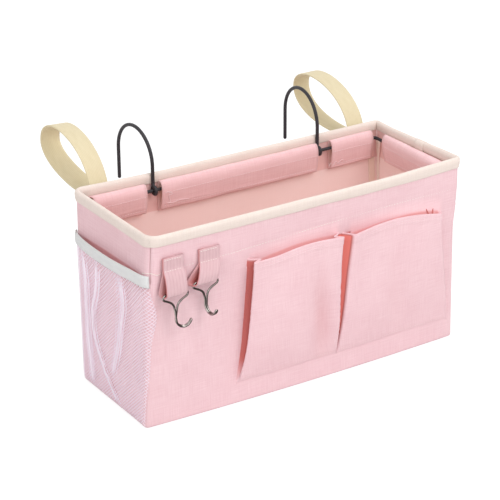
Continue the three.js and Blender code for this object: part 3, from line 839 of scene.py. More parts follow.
bottomCloth = makePlate("bottom_panel_cloth", "bottom", canvasPink)
place(bottomCloth, "bag", "canvas", "bottom_panel")
boardPlate = makePlate("base_board_plate", "board", boardGrey)
place(boardPlate, "bag", "board", "base_board")
floorLining = makePlate("floor_lining_cloth", "lining", liningPink)
place(floorLining, "bag", "lining", "floor_lining")


def makeFootTape():
    rows = foot["tapeRows"]
    outer = np.array([ringAt(z, -foot["tapeInset"]) for z in rows])
    inner = np.array([ringAt(z, -foot["tapeInset"] - foot["tape"]) for z in rows])
    cloth = np.stack(np.broadcast_arrays(lengths(outer[0])[None, :], np.array(rows)[:, None]), -1)
    tape = thickSheet("base_seam_tape_strip", outer, inner, cloth, creamTape, ring=True)
    place(tape, "bag", "cream_tape", "base_seam_tape")


makeFootTape()
print("walls and foot made")


# Rim binding: a tape folded over the rim, soft on top
binding = {
    "outside": 11.0, "inside": 10.5, "puff": 0.35, "lift": 0.3, "step": 3.2,
    "mitre": 0.85, "mitreWide": 1.6,  # pinched at the back right corner
    # the tape's end, turned over its start on the right end and clear of it
    "endAt": -2.0, "endLength": 13.0, "endThick": 0.75, "endClear": 0.06, "endAlong": 600,
    "shown": 16,  # points of the section from one foot over the rim to the other
}
bindingWaves = waves(41, 5, 25, 90)


def bindingSection(along, extra=0.0):
    top = bag["height"]
    puff = binding["puff"] * (1 + bindingWaves(along, 0.0))
    lift = binding["lift"] * bindingWaves(along, 40.0)
    footOut = top - binding["outside"] + 0.5 * bindingWaves(along, 90.0)
    footIn = top - binding["inside"] + 0.5 * bindingWaves(along, 150.0)
    e = extra
    section = [
        (0.12, footOut), (0.75 + e, footOut + 0.1), (0.95 + e, footOut + 0.8), (1.15 + puff + e, top - 7),
        (1.3 + puff + e, top - 4), (1.0 + puff + e, top - 1.9), (0.35 + e, top - 0.6 + lift),
        (-0.55, top + lift + e * 0.5), (-1.5, top + 0.05 + lift + e * 0.5), (-2.4 - e, top - 0.6 + lift),
        (-3.1 - puff - e, top - 1.9), (-3.4 - puff - e, top - 4), (-3.2 - puff - e, top - 7),
        (-2.95 - e, footIn + 0.8), (-2.75 - e, footIn + 0.1), (-2.12, footIn),
        (-2.1, top - 5), (-2.1, top - 1.3), (0.1, top - 1.3), (0.1, top - 5),
    ]
    return np.array(section)


def bindingRing(side, t, along, extra=0.0):
    section = bindingSection(along, extra)
    return wallAt(side, np.full(len(section), t), section[:, 1], section[:, 0])


def sectionCloth(section, along):
    return np.column_stack([np.full(len(section), along), lengths(section)])


def makeBinding():
    stations = rimStations(binding["step"])
    middle = np.array([wallAt(side, t, bag["height"]) for side, t in stations])
    along = lengths(middle)
    corner = wallAt("right", panelEdges("right", bag["height"])[1], bag["height"])
    mitre = -binding["mitre"] * hill(np.linalg.norm(middle - corner, axis=1), binding["mitreWide"])
    rings = [bindingRing(side, t, s, pinch) for (side, t), s, pinch in zip(stations, along, mitre)]
    cloth = [sectionCloth(bindingSection(s), s) for s in along]
    points, faces = tubeMesh(rings, closed=True)
    tape = makePiece("rim_binding_tape", points, faces, creamTape, np.concatenate(cloth))
    place(tape, "bag", "cream_tape", "rim_binding")
    marks = np.linspace(binding["endAt"] - binding["endLength"], binding["endAt"], 8)
    rings, cloth = [], []
    shown = binding["shown"]
    for t in marks:
        s = binding["endAlong"] + t
        section = bindingSection(s, binding["endThick"])
        under = bindingSection(s, binding["endClear"])
        both = np.concatenate([section[:shown], under[shown - 1:0:-1]])
        rings.append(wallAt("right", np.full(len(both), t), both[:, 1], both[:, 0]))
        cloth.append(sectionCloth(both, s))
    points, faces = tubeMesh(rings)
    end = makePiece("rim_binding_end", points, faces, creamTape, np.concatenate(cloth))
    place(end, "bag", "cream_tape")


makeBinding()

# Frame wire: one rod bent to a ring, its ends inside the joining tube
wire = {"rod": 3.4, "bend": 5.0, "endGap": 2.0}
wireLow, wireHigh = nodeBox("frame_wire")
wire["x"], wire["y"] = wireHigh[:2] - wire["rod"] / 2
wire["z"] = (wireLow[2] + wireHigh[2]) / 2


def framePath():
    points = []
    for quarter, (sx, sy) in enumerate(((1, -1), (1, 1), (-1, 1), (-1, -1))):
        for angle in np.radians(np.linspace(-90, 0, 9) + 90 * quarter):
            points.append((sx * (wire["x"] - wire["bend"]) + wire["bend"] * math.cos(angle),
                           sy * (wire["y"] - wire["bend"]) + wire["bend"] * math.sin(angle)))
    points = [(wire["endGap"] / 2, -wire["y"])] + points + [(-wire["endGap"] / 2, -wire["y"])]
    return np.column_stack([points, np.full(len(points), wire["z"])])


points, faces = tubeMesh(wireRings(framePath(), (0, 0, 1), wire["rod"], wire["rod"], 16))
frameRod = makePiece("frame_wire_rod", points, faces, wireBlack)
place(frameRod, "bag", "black_wire", "frame_wire")
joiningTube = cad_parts["frame_joining_tube"].data.materials
joiningTube.clear()
joiningTube.append(nickel)

# Bed hooks: an eye round the frame wire, a riser, an arch and a back leg
bedHook = {
    "rod": 3.65, "x": {"left": -97.0, "right": 96.4}, "eye": 3.75, "riserY": 62.9, "span": 64.0,
    "rise": ((-0.2, 2.9), (0, 8)),  # out of the eye: back and up from the frame wire
    "riserTop": 199, "archZ": 208.7, "legTop": 190, "legEnd": 174.5,
    "lean": {"left": -2.8, "right": 2.2},  # how far the back legs have been bent aside
    "turns": 28, "archSteps": 30, "round": 14,
}


def roundedEnd(path, size, steps=4):
    path = np.asarray(path, float)
    direction = unit(path[-1] - path[-2])
    radius = size / 2
    stem = path[:-1]
    if np.linalg.norm(path[-1] - path[-2]) >= radius:
        stem = np.vstack([stem, path[-1] - direction * radius])
    angles = np.linspace(0, math.pi / 2, steps + 1)[1:]
    cap = np.array([path[-1] - direction * radius * (1 - math.sin(a)) for a in angles])
    sizes = np.concatenate([np.full(len(stem), size), [max(size * math.cos(a), 0.12) for a in angles]])
    return np.vstack([stem, cap]), sizes


def makeBedHook(side):
    hook = bedHook
    x, span, radius = hook["x"][side], hook["span"], hook["span"] / 2
    turns = np.radians(np.linspace(0, 360, hook["turns"], endpoint=False))
    eyeY, eyeZ = wire["y"] + hook["eye"] * np.cos(turns), wire["z"] + hook["eye"] * np.sin(turns)
    eye = np.column_stack([np.full(len(turns), x), eyeY, eyeZ])
    rings = wireRings(eye, (1, 0, 0), hook["rod"], hook["rod"], hook["round"], True)
    ring = makePiece("bed_hook_" + side + "_rod", *tubeMesh(rings, True), wireBlack)
    path = [(back, wire["z"] + up) for back, up in hook["rise"]] + [(0, hook["riserTop"])]
    for a in np.radians(np.linspace(180, 0, hook["archSteps"])):
        path.append((radius + radius * math.cos(a), hook["archZ"] + radius * math.sin(a)))
    path += [(span, hook["legTop"]), (span, hook["legEnd"])]
    back, up = np.array(path).T
    aside = hook["lean"][side] * ramp(back, 0, span)
    path, sizes = roundedEnd(np.column_stack([x + aside, hook["riserY"] + back, up]), hook["rod"])
    riser = makePiece("riser", *tubeMesh(wireRings(path, (1, 0, 0), sizes, sizes, hook["round"])), wireBlack)
    place(fuse(ring, [riser]), "bed_hook_" + side, "black_wire", "bed_hook_" + side)


makeBedHook("left")
makeBedHook("right")
print("rim, frame wire and bed hooks made")

# Sleeves: strips sewn to the wall, hanging over the frame wire
sleeve = {
    "cloth": 1.2, "step": 4.0,
    # distance from the wall's inside and height, from the flap behind up over the wire and down in front
    "fold": (
        (0.8, 159.8), (0.9, 167), (1.1, 175), (1.2, 183), (2.2, 189.5),
        (3.9, 191.8), (5.7, 191.9), (7.4, 190.4), (8.7, 187.2), (9.0, 183),
        (8.6, 178.5), (7.8, 173), (6.8, 168), (6.0, 164.6), (5.6, 162.6),
    ),
    # the front hangs from this share of the fold on; waves grow from a share on, over a length
    "hangs": 0.55, "wave": 0.4, "waveFrom": 0.5, "waveGrow": 30,
    "rows": (181.0, 166.2), "rowInset": 1.5, "rowOut": 0.1,
    # painted red shade on each side's sleeves, a little more where they are sewn flat
    "red": {"back": 0.1, "front": 0.1, "left": 0.1, "right": 0.02}, "sewnShade": 0.03,
    "backLeft": 165.0, "rightEnd": 43.5,  # leaves the wire bare in the back right corner
    "pushed": {"back_sleeve_middle": 3.4, "back_sleeve_right": 2.8},  # how far these have slid to the left
}
sleeveWaves = waves(53, 6, 18, 70)
sleeveRows = []
sleeveFold = smoothPath(sleeve["fold"], 1.4)
sleeveAlong = lengths(sleeveFold)


# How far the hanging part of a sleeve stands off the wall's inside
def sleeveFace(t, z):
    hanging = sleeveAlong > sleeveAlong[-1] * sleeve["hangs"]
    down = np.interp(-z, -sleeveFold[hanging, 1], sleeveAlong[hanging])
    return np.interp(down, sleeveAlong, sleeveFold[:, 0]) + sleeve["wave"] * sleeveWaves(t, down)


# A line of thread on a sleeve's face
def sleeveLine(side, t, z, out):
    return wallAt(side, t, z, -bag["cloth"] - sleeveFace(t, z) - sleeve["cloth"] / 2 - out)


def makeSleeve(node, side, low, high):
    fold, along = sleeveFold, sleeveAlong
    tangent = unit(np.gradient(fold, axis=0))
    normal = np.column_stack([-tangent[:, 1], tangent[:, 0]])
    marks = np.linspace(low, high, int((high - low) / sleeve["step"]) + 2)
    front = ramp(along, along[-1] * sleeve["waveFrom"], sleeve["waveGrow"])

    def layer(offset):
        rows = []
        for t in marks:
            inward = fold[:, 0] + normal[:, 0] * offset + sleeveWaves(t, along) * sleeve["wave"] * front
            height = fold[:, 1] + normal[:, 1] * offset + sleeve["wave"] * sleeveWaves(t, 30.0)
            rows.append(wallAt(side, np.full(len(fold), t), height, -bag["cloth"] - inward))
        return np.array(rows)

    # painted red shade, a little more on the lower part, sewn flat
    paintedShading = sleeve["red"][side] + sleeve["sewnShade"] * ramp(fold[:, 1], sleeve["rows"][0], -1.5)
    cloth = np.stack(np.broadcast_arrays(marks[:, None], along[None, :], paintedShading[None, :]), -1)
    half = sleeve["cloth"] / 2
    piece = thickSheet(node + "_cloth", layer(half), layer(-half), cloth, sleevePink)
    place(piece, "bag", "canvas", node)
    (high - low) * mm
    t = np.linspace(low + sleeve["rowInset"], high - sleeve["rowInset"], len(marks) * 2)
    for row in sleeve["rows"]:
        path = sleeveLine(side, t, np.full(len(t), row), sleeve["rowOut"])
        sleeveRows.append((path, -outwardOf(side)))


sleeveNodes = (
    "back_sleeve_left", "back_sleeve_middle", "back_sleeve_right",
    "front_sleeve", "left_sleeve", "right_sleeve",
)
for node in sleeveNodes:
    low, high = nodeBox(node)
    side = node.split("_")[0]
    if node == "back_sleeve_left":
        makeSleeve(node, side, -high[0], sleeve["backLeft"])
    elif side == "back":
        makeSleeve(node, side, -high[0], -low[0] + sleeve["pushed"][node])
    elif side == "front":
        makeSleeve(node, side, low[0], high[0])
    elif side == "left":
        makeSleeve(node, side, -high[1], -low[1])
    else:
        makeSleeve(node, side, low[1], sleeve["rightEnd"])

# Corner tapes: strips over the inside of the corner seams; the back right one has come loose at the top
cornerTape = {
    # the tan shares are painted shade on the tapes
    "thick": 0.8, "low": 10.6, "high": 189.0, "wide": 9.0, "stand": 0.35, "tanShade": 0.4,
    "drawn": 0.9,  # inside a round corner the seam's two sides draw together
    "looseHigh": 181.0, "looseWide": 7.4, "looseTanShade": 0.1,
    "looseFrom": 148.0, "looseLean": 9.0, "looseStand": 3.0,
    # its turned end, sewn to the back, in deeper painted shade
    "endFrom": 112.0, "endTo": 160.0, "endShift": 10.0, "endWide": 8.0, "endStand": 0.3, "endTanShade": 0.45,
}


def makeTape(name, side, levels, wide, stand, lean, tanShade):
    _, seam = panelEdges(side, levels)
    if side == "left":
        seam = seam - seamStray(levels)
    across = np.linspace(-wide / 2, wide / 2, 7)
    t = (seam - lean)[:, None] + across[None, :] * cornerTape["drawn"]
    z = np.broadcast_to(levels[:, None], t.shape)
    stand = np.broadcast_to(np.asarray(stand, float).reshape(-1, 1), t.shape)
    outer = wallAt(side, t, z, -bag["cloth"] - stand)
    inner = wallAt(side, t, z, -bag["cloth"] - stand - cornerTape["thick"])
    # the tape's tan share is painted shade
    piece = thickSheet(name, outer, inner, np.stack([t, z, np.full(t.shape, tanShade)], -1), seamTape)
    place(piece, "bag", "cream_tape")
    return piece


def makeCornerTapes():
    tape = cornerTape
    corners = {"front_right": "front", "back_right": "right", "back_left": "back", "front_left": "left"}
    for node, side in corners.items():
        loose = node == "back_right"
        levels = np.linspace(tape["low"], tape["looseHigh"] if loose else tape["high"], 44)
        free = ramp(levels, tape["looseFrom"], levels[-1] - tape["looseFrom"]) * loose
        wide, tanShade = (tape["looseWide"], tape["looseTanShade"]) if loose else (tape["wide"], tape["tanShade"])
        stand, lean = tape["stand"] + tape["looseStand"] * free, tape["looseLean"] * free ** 1.2
        piece = makeTape(node + "_corner_tape_strip", side, levels, wide, stand, lean, tanShade)
        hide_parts(node + "_corner_tape")
    levels = np.linspace(tape["endFrom"], tape["endTo"], 20)
    wide, stand, lean, tanShade = tape["endWide"], tape["endStand"], -tape["endShift"], tape["endTanShade"]
    makeTape("back_right_corner_tape_end", "right", levels, wide, stand, lean, tanShade)


makeCornerTapes()
print("sleeves and corner tapes made")

# Straps: webbing loops on the back, both ends sewn one over the other
strap = {
    "x": {"left": -151.0, "right": 151.0}, "wide": 20.0, "thick": 1.5,
    # sewn ends, under and over: distance from the wall and height
    "under": ((1.0, 155.4), (1.0, 170), (1.3, 180.5)), "over": ((3.6, 180.5), (2.75, 170), (2.75, 155.4)),
    # y and z where the ends part, then the loop out to its tip and back, from its root
    "underBend": (70.7, 186.2), "overBend": (72.6, 185.0), "root": (71.7, 186.4),
    "up": ((4, 50), (104.5, 57), (104.5, 25)), "down": ((104.5, -4), (40, -9)),
    "lift": {"left": 6.5, "right": 0.8},  # the left loop stands up more
    "underLift": {"left": 7.0, "right": 0.0},  # and is flatter
    "twist": {"left": -32.0, "right": 0.0},  # its lower part is turned
    "twistAt": 0.70, "twistWide": 0.16,  # as shares of the webbing's length
    "bendFrom": (0.0705, 0.1838), "bendTo": (0.0805, 0.1945),  # y and z in metres
}


def makeStrap(side):
    x = strap["x"][side]
    root = np.array(strap["root"])
    rise, crown, tip = (root + p for p in strap["up"])
    rise[1] += strap["lift"][side]
    crown[1] += strap["lift"][side]
    fall, sag = (root + p + (0, strap["underLift"][side]) for p in strap["down"])
    behind = halfSizes(170)[1]
    path = [(behind + out, z) for out, z in strap["under"]] + [strap["underBend"]]
    path += list(bezier(root, rise, crown, tip, 15)[1:])
    path += list(bezier(tip, fall, sag, root, 13)[1:-1])
    path += [strap["overBend"]] + [(behind + out, z) for out, z in strap["over"]]
    path = smoothPath(path, 2.2)
    along = lengths(path)
    full = along[-1]
    twist = strap["twist"][side] * hill(along - strap["twistAt"] * full, strap["twistWide"] * full)
    name = "strap_" + side
    piece = stripPiece(name + "_webbing", path, x, strap["wide"], strap["thick"], creamWebbing, twist=twist)
    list(strap["bendFrom"])
    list(strap["bendTo"])
    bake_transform(piece)
    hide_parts("strap_sewn_end_" + side, "strap_loop_" + side)
    print("strap length", round(full))


makeStrap("left")
makeStrap("right")

# Tabs: webbing sewn down at the top, open as a loop below
tab = {
    "x": {"left": -151.0, "right": -112.5}, "wide": 22.6, "thick": 1.5,
    "foldOut": 72.4, "fold": 3.25, "sewnAt": 172, "backY": -69.15,
    "slant": {"left": 0.0, "right": -6.0},  # the right loop hangs askew
    "backSlant": {"left": -5.0, "right": -8.5},  # behind, both loops hang further to the left
    # the loop gets painted dark red shade inside, less where it shows beside its front, and a painted shadow
    # along its left edge
    "bareWide": 9, "bareLight": 0.72, "edgeShade": 0.75, "edgeLight": 0.6,
    "frontY": (-75.7, -74.6, -72.7),  # of the loop, from the fold up
    "bendY": -0.069, "bendFrom": 1.2, "bendTo": -5.5,
}
tabWall = -halfSizes(tab["sewnAt"])[1]


def tabHeights(side):
    sewnLow, sewnHigh = nodeBox("tab_sewn_top_" + side)
    loopLow, _ = nodeBox("tab_loop_" + side)
    return sewnHigh[2], sewnLow[2], loopLow[2] + tab["fold"] + tab["thick"] / 2


def makeTab(side):
    x, backY = tab["x"][side], tab["backY"]
    top, sewn, fold = tabHeights(side)
    # down the wall and behind the hook's bar, round it, and up in front
    path = [(tabWall - 0.9, top - 0.2), (tabWall - 0.9, tab["sewnAt"]), (tabWall - 0.95, sewn + 2)]
    path += [(backY - 0.05, sewn - 4), (backY, fold + 6), (backY, fold + 2.5)]
    for a in np.radians(np.linspace(0, 180, 9)):
        path.append((-tab["foldOut"] + tab["fold"] * math.cos(a), fold - tab["fold"] * math.sin(a)))
    path += list(zip(tab["frontY"], (fold + 4, (fold + sewn) / 2, sewn - 4)))
    path += [(tabWall - 2.55, sewn + 1.5), (tabWall - 2.5, tab["sewnAt"]), (tabWall - 2.5, top)]
    path = smoothPath(path, 1.2)
    along = lengths(path)
    behind = ramp(along, along[np.argmin(path[:, 1])] + 4, -8)

    # painted shade: dark red inside the loop and along the left edge
    def paintedShading(path, section):
        left = section[:, 0] + tab["wide"] / 2
        loop = ramp(path[:, 1], sewn + 1, -3)[:, None] * (section[:, 1] < -0.3)[None, :]
        bare = ramp(left, tab["bareWide"], -tab["bareWide"])
        loop = loop * (1 - tab["bareLight"] * behind[:, None] * bare[None, :])
        edge = tab["edgeShade"] * (left < 0.4)[None, :] * (1 - tab["edgeLight"] * behind[:, None])
        return np.maximum(loop, edge)

    slant = tab["slant"][side] + tab["backSlant"][side] * behind
    hang = x + slant * np.clip((sewn - path[:, 1]) / (sewn - fold), 0, 1)
    name = "tab_" + side
    piece = stripPiece(name + "_webbing", path, hang, tab["wide"], tab["thick"], lilacWebbing, paintedShading)
    start, end = ((x * mm, tab["bendY"], (sewn + tab[key]) * mm) for key in ("bendFrom", "bendTo"))
    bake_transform(piece)
    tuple(start)
    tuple(end)
    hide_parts("tab_sewn_top_" + side, "tab_loop_" + side)


makeTab("left")
makeTab("right")

# Key hooks: one wire bent double, a bar in the tab's fold, two arms, a stem and a hook
keyHook = {
    "wire": 2.05, "clear": 0.03, "axisY": -72.4, "axisDrop": 1.0,
    "stemHigh": 17.5, "stemLow": {"left": 27.0, "right": 23.5}, "deep": 8.5, "wide": 15.0, "sweep": 158.0,
    "turns": {"left": 12.0, "right": 79.0},  # how far each hook has been turned to the front
    "arm": (
        (5, 0), (10.2, 0), (12.3, -0.9), (13.1, -3.0), (12.3, -5.0),
        (9.4, -6.5), (6.0, -8.4), (3.2, -10.9), (1.75, -14.0), (1.1, -17.5),
    ),
}


# A round wire through any path, its rings carried along without twisting
def roundTube(path, size, sides=12):
    path = np.asarray(path, float)
    tangent = unit(np.roll(path, -1, 0) - np.roll(path, 1, 0))
    across = np.empty_like(path)
    first = np.array((0.3, 0.9, 0.1))
    across[0] = unit(first - tangent[0] * (first @ tangent[0]))
    for k in range(1, len(path)):
        carried = across[k - 1] - tangent[k] * (across[k - 1] @ tangent[k])
        across[k] = unit(carried)
    last = unit(across[-1] - tangent[0] * (across[-1] @ tangent[0]))
    slip = math.atan2(np.cross(last, across[0]) @ tangent[0], last @ across[0])
    normal = np.cross(tangent, across)
    turn = np.arange(len(path)) / len(path) * slip
    angle = np.linspace(0, 2 * math.pi, sides, endpoint=False)[None, :] + turn[:, None]
    ring = across[:, None] * np.cos(angle)[..., None] + normal[:, None] * np.sin(angle)[..., None]
    return tubeMesh(path[:, None] + ring * size / 2, True)


def makeKeyHook(side, x):
    k = keyHook
    axisZ = nodeBox("key_hook_" + side)[1][2] - k["axisDrop"]
    turn = math.radians(k["turns"][side])
    reach = np.array((math.cos(turn), -math.sin(turn), 0))
    beside = np.array((math.sin(turn), math.cos(turn), 0))
    centre = np.array((x, k["axisY"], axisZ))
    high, low = k["stemHigh"], k["stemLow"][side]
    stem = [(0, -v, (v - high) / (low - high)) for v in np.linspace(high + 1.5, low, 6)]
    sweep = np.radians(np.linspace(0, k["sweep"], 20))[1:]
    stem += [(k["wide"] / 2 * (1 - math.cos(a)), -low - k["deep"] * math.sin(a), 1.0) for a in sweep]
    gap = k["wire"] / 2 + k["clear"]
    middle, apart = [], []
    for u, v, twist in stem:
        middle.append(centre + reach * u + (0, 0, v))
        angle = twist * math.atan2(beside[1], beside[0])
        apart.append(np.array((math.cos(angle), math.sin(angle), 0)) * gap)
    middle, apart = np.array(middle), np.array(apart)
    ahead = unit(middle[-1] - middle[-2])
    bend = np.linspace(0, math.pi, 7)[1:-1]
    tip = [middle[-1] + ahead * gap * math.sin(a) + apart[-1] * math.cos(a) for a in bend]
    arm = smoothPath(k["arm"], 0.9)
    right = np.column_stack([x + arm[:, 0], np.full(len(arm), k["axisY"]), axisZ + arm[:, 1]])
    left = right.copy()
    left[:, 0] = 2 * x - left[:, 0]
    path = np.vstack([[centre], right, middle + apart, tip, (middle - apart)[::-1], left[::-1]])
    points, faces = roundTube(path, k["wire"])
    hook = makePiece("key_hook_" + side + "_wire", points, faces, nickel)
    place(hook, "key_hook_" + side, "bright_metal", "key_hook_" + side)


for side, x in tab["x"].items():
    makeKeyHook(side, x + tab["slant"][side])
print("straps, tabs and key hooks made")

# Front pockets: a front face that stands off the wall, with sides folded deep inwards
pocket = {
    "cloth": 1.2, "low": 22.0, "sink": 3.4, "hem": 9.0, "hemThick": 0.4, "sunk": -0.95, "fullness": 5.0,
    # the valley in the face gets a little painted shade, in proportion to its depth
    "bow": 1.6, "wave": 0.6, "edgeIn": 0.9, "columns": 45, "points": 140, "dentShade": 0.03,
    "footLevels": (0, 0.008, 0.018), "levels": ((0.035, 0.9, 40), (0.915, 1, 10)),
    "leave": 24, "slacken": 6, "deepen": 1.6, "shadeRise": 5,  # how fast it does so from the bottom up
    "valleyLean": 0.13, "valleyWide": 0.1, "valleyHigh": 0.36,
    # mouth heights from left to right, edges from the bottom up, how far they stand off at the top,
    # how deep their sides fold, how much painted red shade (beyond 1 also glow) these get and over how far
    # from the face, soft valley in the face
    "left": {
        "mouth": (152.8, 151.8, 154.3, 155.4, 154.6),
        "edges": ((-81.2, -76.0, -72.8, -70.2, -68.4), (35.4, 34.8, 33.6, 33.4, 35.2)),
        "stands": (10.4, 10.5), "folds": (11.0, 8.0), "redShades": (1.0, 1.0), "fade": 1.2, "valley": (0.73, 6.5),
    },
    "right": {
        "mouth": (153.7, 155.3, 155.2, 152.2, 147.4),
        "edges": ((36.4, 38.4, 41.2, 44.4, 48.6), (172.0, 168.0, 163.5, 159.5, 156.0)),
        "stands": (10.5, 4.0), "folds": (-8.5, 3.0), "redShades": (1.42, 0.6), "fade": 2.6, "valley": (0.4, 1.2),
    },
}
pocketWaves = waves(67, 6, 35, 110)


def sheetNormals(grid):
    rows = np.gradient(grid, axis=0)
    columns = np.gradient(grid, axis=1)
    return unit(np.cross(columns, rows))


# A pocket's side: folded inwards, or sloping outwards where the fold is negative
def gusset(edge, stand, fold, inward):
    shape = (
        (-0.4, pocket["sunk"]), (0.4 * fold, 0.45 + 0.2 * stand),
        (fold, 0.5 * stand + 0.3), (0.45 * fold + 0.4, 0.8 * stand + 0.1),
    )
    if fold < 0:
        shape = (
            (fold - 0.4, pocket["sunk"]), (0.8 * fold, 0.12 * stand),
            (0.4 * fold, 0.5 * stand), (0.12 * fold, 0.86 * stand),
        )
    return [(edge + inward * t, out) for t, out in shape]


def makePocket(side):
    p = pocket[side]
    leftEdge, rightEdge = (curve(edge) for edge in p["edges"])
    mouth = curve(p["mouth"])
    valleyAt, valleyDeep = p["valley"]
    levels = np.concatenate([pocket["footLevels"]] + [np.linspace(*part) for part in pocket["levels"]])
    across = np.linspace(0, 1, pocket["columns"])
    dome = np.sin(math.pi * across)
    places = np.linspace(0, 1, pocket["points"])
    grid, cloth = [], []
    for share in levels:
        left, right = leftEdge(share), rightEdge(share)
        # the face, and how far it stands off the wall
        opening = 1 - (1 - share) ** pocket["fullness"]
        base = pocket["sunk"] + (0.3 - pocket["sunk"]) * min(1, share * pocket["leave"])
        standLeft, standRight = (stand * opening + base for stand in p["stands"])
        stand = standLeft + (standRight - standLeft) * across
        t = left + pocket["edgeIn"] + (right - left - 2 * pocket["edgeIn"]) * across
        dent = hill(across - valleyAt - pocket["valleyLean"] * (1 - share), pocket["valleyWide"])
        dent = dent * hill(share - pocket["valleyHigh"], pocket["valleyHigh"])
        bow = pocket["bow"] * dome * math.sin(math.pi * min(share, 0.98)) - pocket["sink"] * dome * share ** 3
        slackness = bow - valleyDeep * dent + pocket["wave"] * pocketWaves(t, 130 * share) * dome
        stand = np.maximum(stand + slackness * min(1, share * pocket["slacken"]), base)
        # with its sides, as one evenly spaced line
        deepen = min(1, pocket["deepen"] * share) ** 0.7
        foldLeft, foldRight = (fold * deepen + (0.3 if fold > 0 else 0) for fold in p["folds"])
        line = gusset(left, standLeft, foldLeft, 1) + list(zip(t, stand))
        line = smoothPath(line + gusset(right, standRight, foldRight, -1)[::-1], 0.7)
        along = lengths(line)
        line = np.column_stack([np.interp(places * along[-1], along, line[:, k]) for k in (0, 1)])
        top = mouth(np.clip((line[:, 0] - left) / (right - left), 0, 1))
        z = pocket["low"] + (top - pocket["low"]) * share
        grid.append(wallAt("front", line[:, 0], z, line[:, 1]))
        # the folded sides, in the dark between wall and face, get painted red shade, but for their hem; the
        # valley gets a little painted shade too
        red = np.where(line[:, 0] < (left + right) / 2, *p["redShades"])
        red = red * min(1, share * pocket["shadeRise"]) * min(1, (1 - share) / 0.02)
        fold = ramp(np.interp(line[:, 0], t, stand) - line[:, 1], 0.8, p["fade"]) * red
        shaded = pocket["dentShade"] * valleyDeep * np.interp(line[:, 0], t, dent)
        cloth.append(np.column_stack([places * along[-1], z, np.maximum(fold, shaded)]))
    grid, cloth = np.array(grid), np.array(cloth)
    normal = sheetNormals(grid)
    height = (max(p["mouth"]) - pocket["low"]) * levels
    hem = ramp(height - height[-1], -pocket["hem"], 1.2) * pocket["hemThick"]
    outer = grid + normal * (pocket["cloth"] / 2 + hem)[:, None, None]
    inner = grid - normal * pocket["cloth"] / 2
    piece = thickSheet("front_pocket_" + side + "_cloth", outer, inner, cloth, canvasPink)
    place(piece, "bag", "canvas", "front_pocket_" + side)
    height[-1] * mm
    return grid, normal, levels


pocketGrids = {side: makePocket(side) for side in ("left", "right")}
print("front pockets made")

# Mesh pockets: a knotted net under an elastic band, on both ends
net = {
    "wide": 128.0, "high": 148.0, "low": 3.0, "stand": 0.9, "edgeIn": 0.4, "bothIn": 1.4,
    "swell": 0.9, "belly": 1.6, "tuck": 0.5,  # how round it is across and upwards; its top is under the band
    "bow": {"left": 7.0, "right": 2.5}, "inset": {"left": 0.6, "right": 5.0},
    # the band's top edge at the back, the middle, the front
    "bandHigh": 11.8, "bandThick": 1.8, "tops": (159.5, 160.2, 160.5),
    "bandIn": 0.6, "bandOut": 0.5, "bandLean": 0.06, "bandRound": 0.8,
    "strand": 0.62, "pitchAcross": 4.0, "pitchUp": 3.7, "step": 3.2, "over": 0.12,
    "foldStrand": 0.4, "foldSpread": 3.2, "foldCount": 20, "foldWide": 0.035, "foldOver": 0.5, "foldGrow": 8,
    # where the slack net lies double: share of the way to the front, from the top down,
    # how far it stands off and its lower end
    "folds": (
        ((0.41, 0.35, 0.28, 0.28, 0.40, 0.62), 1.6, 0.0),
        ((0.70, 0.69, 0.66, 0.61, 0.53, 0.46), 1.1, 0.17),
        ((0.17, 0.175, 0.165, 0.16, 0.17, 0.185), 1.0, 0.0),
    ),
}
netFolds = [(curve(line[::-1]), tall, low) for line, tall, low in net["folds"]]


def bandTop(share):
    return np.interp(share, (0, 0.5, 1), net["tops"])


# A share of the way along an end's wall, as the share from back to front
def frontShare(end, share):
    return share if end == "left" else 1 - share


def netPlace(end, share, rise, extra=0.0):
    toFront = frontShare(end, share)
    top = bandTop(toFront) - net["bandHigh"] + net["tuck"]
    z = net["low"] + (top - net["low"]) * rise
    low, high = panelEdges(end, z)
    inset = net["inset"][end]
    t = low + inset + net["edgeIn"] + (high - low - inset - net["bothIn"]) * share
    swell = np.sin(math.pi * np.clip(share, 0, 1)) ** net["swell"]
    out = net["stand"] + net["bow"][end] * swell * rise ** net["belly"] + extra
    for fold, tall, lowest in netFolds:
        grown = np.clip((rise - lowest) * net["foldGrow"], 0, 1)
        out = out + tall * hill(toFront - fold(rise), net["foldWide"]) * grown
    return wallAt(end, t, z, out)


# Many small tubes as one piece
def makeGroup(name, parts, finish, slot, cloth=None, *nodes):
    points, faces, count = [], [], 0
    for shape, skin in parts:
        points.append(shape)
        faces += [tuple(index + count for index in face) for face in skin]
        count += len(shape)
    points = np.concatenate(points)
    piece = makePiece(name, points, faces, finish, points[:, (0, 2)] if cloth is None else cloth)
    place(piece, "bag", slot, *nodes)


